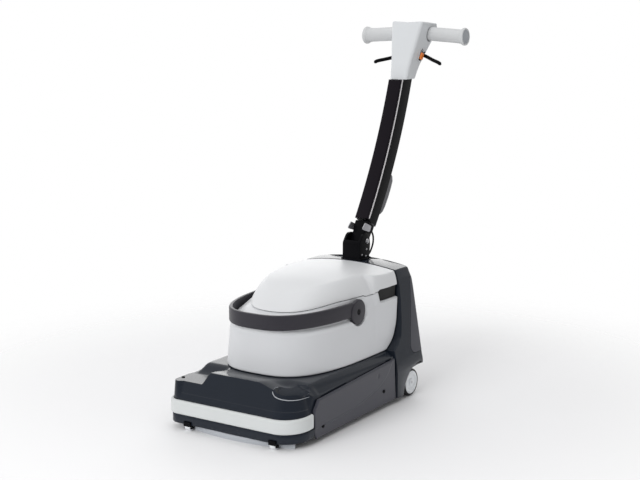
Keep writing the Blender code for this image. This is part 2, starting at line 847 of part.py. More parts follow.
def build_underside():
    """The steel tunnel over the brush, the debris tray behind it and the mounting plate."""
    outline = []
    for radius, order in ((0.0530, 1), (0.0510, -1)):
        row = []
        for step in range(13):
            angle = math.radians(-8 + 196 * step / 12)
            row.append((BRUSH_Y + radius * math.cos(angle), BRUSH_Z + radius * math.sin(angle)))
        outline += row[::order]
    tunnel = slab("brush_tunnel", outline, (0.0, 0, 0), 0.352, "YZ")
    place(tunnel, "steel")
    tray_low = flat_ring(rounded_outline([(-0.150, 0.282, 0.010), (0.150, 0.282, 0.010),
                                          (0.150, 0.405, 0.010), (-0.150, 0.405, 0.010)], 3), 0.0100)
    middle = 0.343
    tray_high = [Vector((point.x * 1.03, point.y + (point.y - middle) * 0.04, 0.0310)) for point in tray_low]
    inner_high = [Vector((point.x * 0.985, point.y - (point.y - middle) * 0.05, 0.0310)) for point in tray_low]
    inner_low = [Vector((point.x * 0.975, point.y - (point.y - middle) * 0.06, 0.0125)) for point in tray_low]
    place(loft("debris_tray", [tray_low, tray_high, inner_high, inner_low]), "battery")


# ---------------------------------------------------------------- inside the tower


def build_tower_contents():
    pack = box("battery_pack", (-0.105, 0.610, 0.172), (0.105, 0.662, 0.335), 0.004)
    place(pack, "battery")
    axis = Vector((-0.095, 0.600, 0.0))
    case = turned(
        "vacuum_motor",
        [
            (0.0, 0.1500),
            (0.0260, 0.1500),
            (0.0260, 0.1250),
            (0.0400, 0.1220),
            (0.0400, 0.0930),
            (0.0370, 0.0930),
            (0.0370, 0.1190),
            (0.0, 0.1190),
        ],
        axis,
        axis="Z",
        steps=32,
    )
    place(case, "motor")
    fan = turned(
        "vacuum_impeller",
        [
            (0.0, 0.1160),
            (0.0080, 0.1160),
            (0.0120, 0.1130),
            (0.0340, 0.1060),
            (0.0350, 0.0990),
            (0.0, 0.0990),
        ],
        axis,
        axis="Z",
        steps=32,
    )
    place(fan, "aluminium", axis)
    pump = box("water_pump", (0.060, 0.560, 0.085), (0.120, 0.610, 0.135), 0.004)
    place(pump, "motor")
    route = smooth_path(
        [
            (0.0, 0.4485, 0.0425),
            (0.0, 0.4485, 0.0600),
            (0.0, 0.4700, 0.0850),
            (0.0, 0.5000, 0.0930),
        ],
        4,
    )
    place(tube("suction_hose", route, 0.0100), "rubber")


# ---------------------------------------------------------------- tank, lid and carry handle


def plan_ring(half, front, power, height, inset, flare, count=14):
    """A closed plan outline: rounded front, flanks that may flare, and the cradle's curve behind."""
    right = []
    for index in range(1, count + 1):
        angle = math.pi / 2 * index / count
        x = half * math.sin(angle) ** (2 / power)
        y = FLANK_Y - (FLANK_Y - front) * math.cos(angle) ** (2 / power)
        right.append((x, y))
    corner = half + flare
    end = cradle(height) - inset
    for share in (0.35, 0.65):
        y = FLANK_Y + (end - 0.008 - FLANK_Y) * share
        right.append((half + flare * smooth((y - 0.41) / 0.14), y))
    right.append((corner, end - 0.008))
    for index in range(7):
        x = (corner - 0.007) * (1 - index / 7)
        right.append((x, end))
    middle = [(0.0, end)]
    left = [(-x, y) for x, y in reversed(right)]
    return [(0.0, front)] + right + middle + left


def tank_ring(height, inset=0.0):
    """The tank's skin at one level; its draft narrows it upwards."""
    lean = inset + 0.078 * (height - 0.158)
    flare = 0.0068 * smooth((height - 0.165) / 0.08)
    return plan_ring(TANK_HALF - lean, TANK_FRONT + lean, TANK_ROUND, height, inset, flare)


def tank_level(height, inset=0.0, channel=0.0):
    """One level of the tank, set in by the carry handle's channel ahead of the pivots."""
    skin = tank_ring(height, inset)
    neck = tank_ring(height, inset + channel)
    ring = []
    for (x, y), (neck_x, neck_y) in zip(skin, neck):
        share = smooth((y - 0.412) / 0.025)
        ring.append(Vector((neck_x + (x - neck_x) * share, neck_y + (y - neck_y) * share, height)))
    return ring


def seam_height(y):
    return SEAM_FRONT + (SEAM_SIDE - SEAM_FRONT) * smooth((y - LID_FRONT) / 0.16)


def recess(x, y):
    """1 in the finger recess at each rear side of the joint, 0 elsewhere."""
    return smooth((y - 0.497) / 0.008) * smooth((abs(x) - 0.105) / 0.025)


def tank_top(x, y):
    return seam_height(y) - 0.0003 + (0.3000 - seam_height(y)) * recess(x, y)


def lid_edge(x, y):
    return seam_height(y) + (0.3330 - seam_height(y)) * recess(x, y)


def seam_plan(inset):
    """Plan of the joint between the tank and its lid."""
    return plan_ring(LID_HALF - inset, LID_FRONT + inset, LID_ROUND, SEAM_SIDE, inset, LID_FLARE)


def tank_rim(inset):
    ring = []
    for x, y in seam_plan(inset):
        height = tank_top(x, y)
        ring.append(Vector((x, min(y, cradle(height) - inset), height)))
    return ring


def tank_neck(height, inset, below):
    """A level near the top, kept below the rim where the finger recesses dip."""
    ring = tank_level(height, inset, 0.0165)
    for point in ring:
        point.z = min(point.z, tank_top(point.x, point.y) - below)
    return ring


def build_tank():
    rings = [
        tank_level(TANK_BOTTOM, 0.006),
        tank_level(0.1580),
        tank_level(0.1800),
        tank_level(0.2100),
        tank_level(0.2620),
        tank_level(0.2710, 0.0006),
        tank_level(0.2752, 0.0006, 0.0045),
        tank_level(0.2760, 0.0006, 0.0165),
        tank_neck(0.3000, 0.0006, 0.0030),
        tank_rim(0.0),
        tank_rim(0.0050),
        tank_neck(0.2940, 0.0050, 0.0080),
        tank_level(0.2600, 0.0040, 0.0175),
        tank_level(0.1580, 0.0040),
    ]
    tank = loft("tank_shell", rings)
    for side in (-1, 1):
        pocket = cylinder(f"pivot_pocket_{side}", (side * 0.193, 0.386, 0.292), 0.0400, 0.0800)
        combine(tank, as_cutter(pocket))
    return place(tank, "tank")


def build_inner_tank():
    rings = [
        tank_level(0.1720, 0.040),
        tank_level(0.2600, 0.044),
        tank_level(0.2600, 0.048),
        tank_level(0.1760, 0.044),
    ]
    place(loft("inner_tank", rings), "clear_tank")
    profile = [
        (0.0360, 0.2480),
        (0.0330, 0.1820),
        (0.0, 0.1820),
        (0.0, 0.1850),
        (0.0300, 0.1850),
        (0.0330, 0.2480),
    ]
    basket = turned("tank_filter", profile, (0, 0.300, 0), axis="Z", steps=28, ring=True)
    place(basket, "filter")


def lid_top(x, y):
    """Height of the lid's top surface, before its edge is rounded over."""
    rise = 0.006 + 0.046 * (1 - math.exp(-max(y - LID_FRONT, 0) / 0.10))
    crown = 0.014 * smooth((y - LID_FRONT) / 0.12)
    dome = seam_height(y) + rise + crown * (1 - (x / 0.150) ** 2)
    flush = TOWER_TOP - 0.014 * (x / 0.157) ** 2
    return dome + (flush - dome) * smooth((y - 0.40) / 0.18)


def lid_ring(scale, inset, drop):
    """The joint's outline drawn in towards the middle and lifted onto the lid's top."""
    ring = []
    for x, y in seam_plan(inset):
        behind = smooth((y - 0.53) / 0.02) * smooth((0.160 - abs(x)) / 0.01)
        reach = 0.20 - 0.135 * smooth((y - 0.462) / 0.03) - 0.025 * behind
        edge = max((scale - (1 - reach)) / reach, 0.0)
        drawn = scale + (scale - scale**2) * smooth((y - 0.52) / 0.05)
        point = Vector((x * scale, FLANK_Y + (y - FLANK_Y) * drawn))
        floor = lid_edge(x, y)
        share = max(1 - edge**1.6, 0) ** 0.72
        height = floor + (lid_top(point.x, point.y) - floor) * share
        rear = min(point.y, cradle(height) - inset)
        ring.append(Vector((point.x, rear - LID_ROOM * smooth((rear - 0.50) / 0.09), height - drop)))
    return ring


def build_lid():
    scales = [0.12, 0.35, 0.60, 0.76, 0.82, 0.88, 0.94, 0.98, 0.995, 1.0]
    rings = [lid_ring(scale, 0.0, 0.0) for scale in scales]
    rings += [lid_ring(1.0, 0.0035, 0.0)]
    rings += [lid_ring(scale, 0.0035, 0.0035) for scale in (0.96, 0.90, 0.80, 0.60, 0.35, 0.12)]
    place(loft("tank_lid", rings), "lid")


def build_lid_seal():
    rings = []
    for inset, low in ((0.0110, -0.0100), (0.0070, -0.0100), (0.0070, 0.0), (0.0110, 0.0)):
        ring = []
        for x, y in seam_plan(inset):
            floor = tank_top(x, y) - 0.0055
            top = lid_edge(x, y) - 0.0005 - 0.0015 * recess(x, y)
            height = floor if low else top
            ring.append(Vector((x, min(y, cradle(height) - inset - 0.0005), height)))
        rings.append(ring)
    place(loft("lid_seal", rings, closed=True), "rubber")


def bail_ring(inset, height):
    """The carry handle's band in plan: round the front, ending beside the pivots."""
    ring = plan_ring(BAIL_HALF - inset, BAIL_FRONT + inset, 2.75, 0.300, inset, 0.0)
    return flat_ring(ring, height)


def build_bail():
    thick = 0.0095
    rings = [
        bail_ring(thick, BAIL_LOW + 0.002),
        bail_ring(thick - 0.002, BAIL_LOW),
        bail_ring(0.0030, BAIL_LOW),
        bail_ring(0.0, BAIL_LOW + 0.006),
        bail_ring(0.0, BAIL_HIGH - 0.008),
        bail_ring(0.0030, BAIL_HIGH),
        bail_ring(thick - 0.002, BAIL_HIGH),
        bail_ring(thick, BAIL_HIGH - 0.002),
    ]
    band = loft("carry_handle", rings, closed=True)
    combine(band, as_cutter(box("bail_end", (-0.4, 0.372, 0.1), (0.4, 0.8, 0.5))))
    for side in (-1, 1):
        lobe = cylinder(f"bail_lobe_{side}", (side * 0.1607, 0.386, 0.292), 0.0355, 0.0090)
        combine(band, as_cutter(lobe), "UNION")
    for side in (-1, 1):
        bore = cylinder(f"bail_bore_{side}", (side * 0.1595, 0.386, 0.292), 0.0084, 0.05, "X", 20)
        combine(band, as_cutter(bore))
    place(band, "bail", BAIL_PIVOT)
    for side, tag in ((-1, "left"), (1, "right")):
        centre = (side * 0.1605, 0.386, 0.292)
        pin = cylinder("carry_pivot_" + tag, centre, 0.0080, 0.0104, "X", 20)
        place(pin, "black")


# ---------------------------------------------------------------- tilting handle


def build_bracket():
    base_z = TOWER_TOP + GAP
    cheek = rounded_outline(
        [
            (0.609, base_z, 0.001),
            (0.664, base_z, 0.001),
            (0.671, 0.425, 0.010),
            (0.664, 0.462, 0.020),
            (0.630, 0.462, 0.016),
            (0.609, 0.436, 0.012),
        ],
        4,
    )
    bracket = slab("handle_bracket", cheek, (0, 0, 0), 0.0600, "YZ")
    gap = as_cutter(box("bracket_gap", (-0.0222, 0.6145, base_z + 0.007), (0.0222, 0.70, 0.50)))
    combine(bracket, gap)
    bolt_hole = cylinder("bracket_bore", HANDLE_PIVOT, 0.0054, 0.08, "X", 20)
    combine(bracket, as_cutter(bolt_hole))
    place(bracket, "black")
    bolt = turned(
        "hinge_bolt",
        [
            (0.0, 0.0335),
            (0.0080, 0.0335),
            (0.0080, 0.0303),
            (0.0050, 0.0303),
            (0.0050, -0.0303),
            (0.0080, -0.0303),
            (0.0080, -0.0335),
            (0.0, -0.0335),
        ],
        HANDLE_PIVOT,
        steps=20,
    )
    place(bolt, "steel")


def boom_frame(distance):
    """Centre and lean of the boom at a distance along it."""
    share = distance / BOOM_LENGTH
    radius = BOOM_LENGTH / (BOOM_LEAN_LOW - BOOM_LEAN_HIGH)
    lean = BOOM_LEAN_LOW + (BOOM_LEAN_HIGH - BOOM_LEAN_LOW) * share
    y = BOOM_START.y + radius * (math.cos(lean) - math.cos(BOOM_LEAN_LOW))
    z = BOOM_START.z + radius * (math.sin(BOOM_LEAN_LOW) - math.sin(lean))
    return Vector((0, y, z)), lean


def boom_ring(distance, section):
    """Section points (x, depth) set square to the boom; depth grows towards the rear."""
    centre, lean = boom_frame(distance)
    back = Vector((0, math.cos(lean), -math.sin(lean)))
    return [centre + Vector((x, 0, 0)) + back * depth for x, depth in section]


def boom_rear(distance):
    """Depth of the boom's rear face, which grows towards the head."""
    share = min(max(distance / BOOM_LENGTH, 0.0), 1.0)
    return BOOM_REAR + 0.0085 * (1 - (1 - share) ** 2.5)


def swept(name, section, start, end, pieces=8):
    rings = []
    for index in range(pieces + 1):
        distance = start + (end - start) * index / pieces
        extra = boom_rear(distance) - BOOM_REAR
        points = [(x, depth + (extra if depth > 0.020 else 0.0)) for x, depth in section]
        rings.append(boom_ring(distance, points))
    return loft(name, rings)


def squared_off(obj):
    """Ends a boom moulding level with the underside of the head."""
    return combine(obj, as_cutter(box(obj.name + "_end", (-0.2, 0.7, 0.9047), (0.2, 1.1, 1.1))))


def build_boom():
    side = BOOM_HALF_X
    depth = BOOM_REAR
    long = BOOM_LENGTH + 0.020
    corners = [(-side, BOOM_FRONT, 0.004), (side, BOOM_FRONT, 0.004)]
    corners += [(side, BOOM_SPLIT, 0.001), (-side, BOOM_SPLIT, 0.001)]
    front = swept("boom_front_cover", rounded_outline(corners, 3), 0.0, long)
    squared_off(front)
    place(front, "boom", HANDLE_PIVOT)
    low = BOOM_SPLIT + GAP
    strip_depth = 0.0055
    rear = rounded_outline(
        [
            (-side + 0.0030, low, 0.0005),
            (side - 0.0030, low, 0.0005),
            (side - 0.0030, low + strip_depth + GAP, 0.0005),
            (side - 0.0005, low + strip_depth + GAP, 0.0005),
            (side - 0.0005, depth, 0.005),
            (-side + 0.0005, depth, 0.005),
            (-side + 0.0005, low + strip_depth + GAP, 0.0005),
            (-side + 0.0030, low + strip_depth + GAP, 0.0005),
        ],
        2,
    )
    channel = swept("boom_rear_channel", rear, 0.0, long)
    squared_off(channel)
    bore = as_cutter(swept("boom_bore", round_section(0.0103, 0.0085, 20), -0.02, BOOM_LENGTH + 0.04))
    combine(channel, bore)
    place(channel, "black", HANDLE_PIVOT)
    place(swept("boom_core_tube", round_section(0.0100, 0.0085, 20), -0.0040, 0.5150, 12), "steel",
          HANDLE_PIVOT)
    for sign, tag in ((-1, "left"), (1, "right")):
        inner = sign * (side - 0.0027)
        outer = sign * (side + 0.0004)
        section = [(inner, low), (outer, low), (outer, low + strip_depth), (inner, low + strip_depth)]
        strip = swept("boom_strip_" + tag, section, 0.004, long)
        squared_off(strip)
        place(strip, "strip", HANDLE_PIVOT)
    build_boom_foot()
    build_rear_cover()


def round_section(radius, depth, sides):
    section = []
    for step in range(sides):
        angle = 2 * math.pi * step / sides
        section.append((radius * math.cos(angle), depth + radius * math.sin(angle)))
    return section


def build_boom_foot():
    """Casting that joins the boom to the hinge bolt."""
    foot_rings = []
    for distance, half, fore, aft in (
        (-0.0790, 0.0215, -0.0080, 0.0060),
        (-0.0680, 0.0215, -0.0185, 0.0130),
        (-0.0420, 0.0215, -0.0215, 0.0165),
        (-0.0270, 0.0215, -0.0220, 0.0170),
        (-0.0250, 0.0240, -0.0220, 0.0170),
        (-0.0045, 0.0240, -0.0220, 0.0170),
    ):
        section = rounded_outline(
            [(-half, fore, 0.003), (half, fore, 0.003), (half, aft, 0.003), (-half, aft, 0.003)], 2
        )
        foot_rings.append(boom_ring(distance, section))
    foot = loft("boom_foot", foot_rings)
    bore = cylinder("foot_bore", HANDLE_PIVOT, 0.0053, 0.08, "X", 20)
    combine(foot, as_cutter(bore))
    place(foot, "aluminium", HANDLE_PIVOT)


def build_rear_cover():
    """Rounded cover clipped to the boom's back."""
    rings = []
    for distance, half, thickness in (
        (0.042, 0.0080, 0.0010),
        (0.048, 0.0150, 0.0090),
        (0.060, 0.0190, 0.0180),
        (0.085, 0.0200, 0.0240),
        (0.135, 0.0200, 0.0250),
        (0.160, 0.0195, 0.0220),
        (0.172, 0.0170, 0.0140),
        (0.178, 0.0090, 0.0010),
    ):
        low = boom_rear(distance) + 2 * GAP
        section = rounded_outline(
            [
                (-half, low, 0.0003),
                (half, low, 0.0003),
                (half, low + thickness, thickness * 0.45),
                (-half, low + thickness, thickness * 0.45),
            ],
            3,
        )
        rings.append(boom_ring(distance, section))
    place(loft("boom_back_cover", rings), "squeegee", HANDLE_PIVOT)


CABLE_ROUTE = [
    (0.012, 0.7035, 0.4640),
    (0.012, 0.7085, 0.4560),
    (0.013, 0.7150, 0.4400),
    (0.014, 0.7120, 0.4200),
    (0.015, 0.6980, 0.4010),
    (0.016, 0.6830, 0.3905),
    (0.016, 0.6740, 0.3885),
]


def build_cable():
    cable = tube("handle_cable", smooth_path(CABLE_ROUTE, 3), 0.0027, 2)
    place(cable, "black")


# ---------------------------------------------------------------- handle head

HEAD_RINGS = [
    # front point, rear point, front half width, rear half width
    ((0.8755, 0.9050), (0.9400, 0.9050), 0.0305, 0.0280),
    ((0.8900, 0.9550), (0.9590, 0.9450), 0.0350, 0.0340),
    ((0.9070, 1.0100), (0.9950, 0.9970), 0.0440, 0.0440),
    ((0.9210, 1.0550), (1.0320, 1.0450), 0.0515, 0.0515),
    ((0.9275, 1.0740), (1.0330, 1.0690), 0.0545, 0.0530),
    ((0.9320, 1.0790), (1.0270, 1.0750), 0.0505, 0.0490),
]


def head_ring(front, rear, half_front, half_rear, inset, radius=0.010):
    start = Vector((0, *front))
    back = Vector((0, *rear)) - start
    depth = back.length
    back.normalize()
    outline = rounded_outline(
        [
            (-half_front + inset, inset, radius - inset * 0.8),
            (half_front - inset, inset, radius - inset * 0.8),
            (half_rear - inset, depth - inset, radius - inset * 0.8),
            (-half_rear + inset, depth - inset, radius - inset * 0.8),
        ],
        4,
    )
    return [start + Vector((point.x, 0, 0)) + back * point.y for point in outline]


def head_solid(name, inset):
    rings = []
    specs = HEAD_RINGS if inset == 0 else HEAD_RINGS[:-1]
    for front, rear, half_front, half_rear in specs:
        rings.append(head_ring(front, rear, half_front, half_rear, inset))
    if inset:
        low = Vector((0, -0.0060, -0.0180))
        rings.insert(0, [point + low for point in rings[0]])
        rings[-1] = [point - Vector((0, 0, 0.0050)) for point in rings[-1]]
    return loft(name, rings)


def split_block(name, offset, forward):
    """Everything in front of or behind the head's parting plane."""
    base = Vector((0, 0.9075, 0.905))
    along = Vector((0, 0.075, 0.170)).normalized()
    across = Vector((0, along.z, -along.y)) * (-1 if forward else 1)
    start = base + across * offset
    rings = []
    for x in (-0.1, 0.1):
        corners = [
            start - along * 0.1,
            start + along * 0.4,
            start + along * 0.4 + across * 0.3,
            start - along * 0.1 + across * 0.3,
        ]
        rings.append([Vector((x, corner.y, corner.z)) for corner in corners])
    return as_cutter(loft(name, rings))


def build_head():
    slots = []
    for side in (-1, 1):
        low = (side * 0.048 - 0.030, 0.9610, 0.9580)
        high = (side * 0.048 + 0.030, 0.9950, 0.9900)
        slots.append(as_cutter(box(f"trigger_slot_{side}", low, high)))
    socket = as_cutter(cylinder("grip_socket", (0, GRIP_Y, GRIP_Z), 0.0225, 0.20, "X", 32))
    slider_slot = as_cutter(flow_slot("slider_slot", 0.0180, 0.0030))
    for name, forward in (("head_front_shell", True), ("head_rear_shell", False)):
        shell = head_solid(name, 0.0)
        combine(shell, as_cutter(head_solid(name + "_cavity", 0.0030)))
        for slot in slots:
            combine(shell, slot)
        combine(shell, socket)
        combine(shell, slider_slot)
        if not forward:
            for tag, x in (("power", -0.017), ("flow", 0.017)):
                hole = button_hole("button_hole_" + tag, x)
                combine(shell, hole)
        combine(shell, split_block(name + "_split", -GAP / 2, not forward))
        place(shell, "head", HANDLE_PIVOT)


SLIDER_CENTRE = Vector((0.0385, 0.9450, 0.9740))
SLIDER_DIRECTION = Vector((0.070, 0.40, 0.91)).normalized()


def flow_slot(name, half_length, half_width):
    """A slot through the head's right wall along the slider's travel."""
    across = Vector((0, SLIDER_DIRECTION.z, -SLIDER_DIRECTION.y)).normalized()
    middle = SLIDER_CENTRE + SLIDER_DIRECTION * 0.0060
    rings = []
    for x in (-0.012, 0.020):
        ring = []
        for along, side in ((-1, -1), (1, -1), (1, 1), (-1, 1)):
            point = middle + SLIDER_DIRECTION * (along * half_length) + across * (side * half_width)
            ring.append(point + Vector((x, 0, 0)))
        rings.append(ring)
    return loft(name, rings)


def build_slider():
    across = Vector((0, SLIDER_DIRECTION.z, -SLIDER_DIRECTION.y)).normalized()
    outward = SLIDER_DIRECTION.cross(across).normalized()
    if outward.x < 0:
        outward = -outward
    rings = []
    for lift, grow in ((-0.0090, 0.0), (0.0042, 0.0), (0.0046, 1.0), (0.0085, 1.0), (0.0098, 0.75)):
        half_length = 0.0060 + 0.0035 * grow
        half_width = 0.0023 + 0.0027 * grow
        ring = []
        for along, side in ((-1, -1), (1, -1), (1, 1), (-1, 1)):
            point = SLIDER_CENTRE + outward * lift
            point += SLIDER_DIRECTION * (along * half_length) + across * (side * half_width)
            ring.append(point)
        rings.append(ring)
    slider = loft("flow_slider", rings)
    place(slider, "orange", SLIDER_CENTRE)


PANEL_Y = 1.004
PANEL_Z = 1.0700


def button_hole(name, x):
    return as_cutter(cylinder(name, (x, PANEL_Y, PANEL_Z - 0.004), 0.0084, 0.030, "Z", 24))


def build_buttons():
    for tag, x, look in (("power_button", -0.017, "orange"), ("flow_button", 0.017, "black")):
        centre = Vector((x, PANEL_Y, PANEL_Z))
        profile = [
            (0.0, 0.0048),
            (0.0062, 0.0044),
            (0.0078, 0.0030),
            (0.0078, -0.0100),
            (0.0, -0.0100),
        ]
        place(turned(tag, profile, centre, axis="Z", steps=24), look, centre)


def build_grips():
    bar = cylinder("handlebar", (0, GRIP_Y, GRIP_Z), 0.0110, 2 * GRIP_END - 0.02, "X", 24)
    place(bar, "steel", HANDLE_PIVOT)
    for side, tag in ((-1, "left"), (1, "right")):
        inner = 0.0440
        outer = GRIP_END
        profile = [
            (0.0215, inner),
            (0.0215, outer - 0.026),
            (0.0225, outer - 0.014),
            (0.0262, outer - 0.010),
            (0.0270, outer - 0.007),
            (0.0265, outer - 0.002),
            (0.0230, outer),
            (0.0, outer),
            (0.0, outer - 0.006),
            (0.0113, outer - 0.006),
            (0.0113, inner),
        ]
        if side > 0:
            points = [(radius, along) for radius, along in reversed(profile)]
        else:
            points = [(radius, -along) for radius, along in profile]
        grip = turned("grip_" + tag, points, (0, GRIP_Y, GRIP_Z), steps=24, ring=True)
        place(grip, "grip", HANDLE_PIVOT)


def build_triggers():
    shaft = cylinder("trigger_shaft", TRIGGER_PIVOT, 0.0030, 0.0600, "X", 16)
    place(shaft, "steel", HANDLE_PIVOT)
    for side, tag in ((-1, "left"), (1, "right")):
        route = smooth_path(
            [
                (side * 0.0200, 0.9580, 0.9845),
                (side * 0.0300, 0.9690, 0.9780),
                (side * 0.0480, 0.9690, 0.9720),
                (side * 0.0800, 0.9510, 0.9630),
                (side * 0.1080, 0.9360, 0.9560),
                (side * 0.1180, 0.9340, 0.9500),
            ],
            3,
        )
        lever = tube("trigger_" + tag, route, 0.0048, 2)
        hub = cylinder(f"trigger_hub_{tag}", TRIGGER_PIVOT + Vector((side * 0.0200, 0, 0)), 0.0085, 0.014)
        combine(lever, as_cutter(hub), "UNION")
        bore = cylinder(f"trigger_bore_{tag}", TRIGGER_PIVOT + Vector((side * 0.0200, 0, 0)), 0.0033, 0.05,
                        "X", 16)
        combine(lever, as_cutter(bore))
        place(lever, "black", TRIGGER_PIVOT)


build_deck()
build_front()
build_side_panels()
build_rear_housing()
build_wheels()
build_front_squeegee()
build_rear_squeegee()
build_brush()
build_brush_drive()
build_underside()
build_tower_contents()
build_tank()
build_inner_tank()
build_lid()
build_lid_seal()
build_bail()
build_bracket()
build_boom()
build_cable()
build_head()
build_slider()
build_buttons()
build_grips()
build_triggers()
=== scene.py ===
"""Looks of the floor scrubber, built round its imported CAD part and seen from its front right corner."""
import json
import math
import random

import bmesh
import bpy
from mathutils import Matrix, Vector

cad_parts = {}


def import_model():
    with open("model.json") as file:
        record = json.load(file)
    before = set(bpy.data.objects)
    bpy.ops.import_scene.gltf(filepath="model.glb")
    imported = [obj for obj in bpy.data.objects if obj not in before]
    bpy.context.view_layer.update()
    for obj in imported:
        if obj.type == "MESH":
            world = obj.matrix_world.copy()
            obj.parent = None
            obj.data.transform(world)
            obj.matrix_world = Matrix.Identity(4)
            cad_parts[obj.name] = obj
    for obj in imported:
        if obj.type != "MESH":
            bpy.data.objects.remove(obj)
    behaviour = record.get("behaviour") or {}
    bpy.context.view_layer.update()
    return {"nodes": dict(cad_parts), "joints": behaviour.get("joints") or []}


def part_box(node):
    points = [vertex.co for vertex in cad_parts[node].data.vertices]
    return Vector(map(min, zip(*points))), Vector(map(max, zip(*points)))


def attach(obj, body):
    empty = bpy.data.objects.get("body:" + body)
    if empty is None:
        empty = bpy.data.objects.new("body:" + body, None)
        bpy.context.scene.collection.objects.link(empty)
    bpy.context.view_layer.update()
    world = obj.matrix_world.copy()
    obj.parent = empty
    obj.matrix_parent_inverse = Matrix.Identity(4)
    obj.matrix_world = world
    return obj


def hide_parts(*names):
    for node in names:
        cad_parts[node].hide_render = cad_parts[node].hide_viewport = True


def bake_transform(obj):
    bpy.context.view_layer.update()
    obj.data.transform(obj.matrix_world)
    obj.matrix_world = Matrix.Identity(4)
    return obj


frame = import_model()

# ---------------------------------------------------------------- sizes read from the CAD part

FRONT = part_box("front_bumper")[0].y


def span(node):
    """A node's box with Y counted from the bumper's front face."""
    low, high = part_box(node)
    return low - Vector((0, FRONT, 0)), high - Vector((0, FRONT, 0))


def centre(node):
    low, high = span(node)
    return (low + high) / 2


def world(point):
    return Vector(point) + Vector((0, FRONT, 0))


BASE_HALF = span("side_panel_right")[1].x
DECK_END = span("chassis_deck")[1].y
DECK_LOW = span("chassis_deck")[0].z
TOWER_LOW = span("rear_housing")[0].z
TOWER_TOP = span("rear_housing")[1].z
WHEEL = centre("rear_hub_right")
WHEEL_RADIUS = (span("rear_tyre_right")[1].z - span("rear_tyre_right")[0].z) / 2
WHEEL_HALF = (span("rear_hub_right")[1].x - span("rear_hub_right")[0].x) / 2
TANK_LOW = span("tank_shell")[0].z
TANK_FRONT = span("tank_shell")[0].y
BAIL_PIVOT = centre("carry_pivot_right")
BAIL_FRONT = span("carry_handle")[0].y
HINGE = centre("hinge_bolt")
BRUSH = centre("brush_core")
BRUSH_RADIUS = (span("brush_bristles")[1].z - span("brush_bristles")[0].z) / 2
BRUSH_HALF = span("brush_bristles")[1].x
GRIP = centre("handlebar")
GRIP_END = span("grip_right")[1].x
ROLLER = centre("front_roller_right")
ROLLER_RADIUS = (span("front_roller_right")[1].z - span("front_roller_right")[0].z) / 2

# ---------------------------------------------------------------- materials


def link(material, source, target):
    material.node_tree.links.new(source, target)


def make_look(name, colour, roughness, metallic=0.0, grain=700.0, depth=0.00006, mottle=0.04, level=0.5):
    """A moulded or metal finish: slight mottling, uneven gloss and a fine surface grain."""
    material = bpy.data.materials.new("look_" + name)
    material.use_nodes = True
    nodes = material.node_tree.nodes
    shader = nodes["Principled BSDF"]
    shader.inputs["Metallic"].default_value = metallic
    shader.inputs["Specular IOR Level"].default_value = level
    place = nodes.new("ShaderNodeTexCoord")
    wide = nodes.new("ShaderNodeTexNoise")
    wide.inputs["Scale"].default_value = 14.0
    wide.inputs["Detail"].default_value = 6.0
    link(material, place.outputs["Object"], wide.inputs["Vector"])
    blend = nodes.new("ShaderNodeMix")
    blend.data_type = "RGBA"
    blend.inputs[6].default_value = (*[value * (1 - mottle) for value in colour], 1)
    blend.inputs[7].default_value = (*[min(value * (1 + mottle), 1) for value in colour], 1)
    link(material, wide.outputs["Fac"], blend.inputs[0])
    link(material, blend.outputs[2], shader.inputs["Base Color"])
    gloss = nodes.new("ShaderNodeMapRange")
    gloss.inputs["To Min"].default_value = roughness - 0.04
    gloss.inputs["To Max"].default_value = roughness + 0.04
    link(material, wide.outputs["Fac"], gloss.inputs["Value"])
    link(material, gloss.outputs["Result"], shader.inputs["Roughness"])
    fine = nodes.new("ShaderNodeTexNoise")
    fine.inputs["Scale"].default_value = grain
    fine.inputs["Detail"].default_value = 3.0
    link(material, place.outputs["Object"], fine.inputs["Vector"])
    bump = nodes.new("ShaderNodeBump")
    bump.inputs["Strength"].default_value = 0.5
    bump.inputs["Distance"].default_value = depth
    link(material, fine.outputs["Fac"], bump.inputs["Height"])
    link(material, bump.outputs["Normal"], shader.inputs["Normal"])
    return material


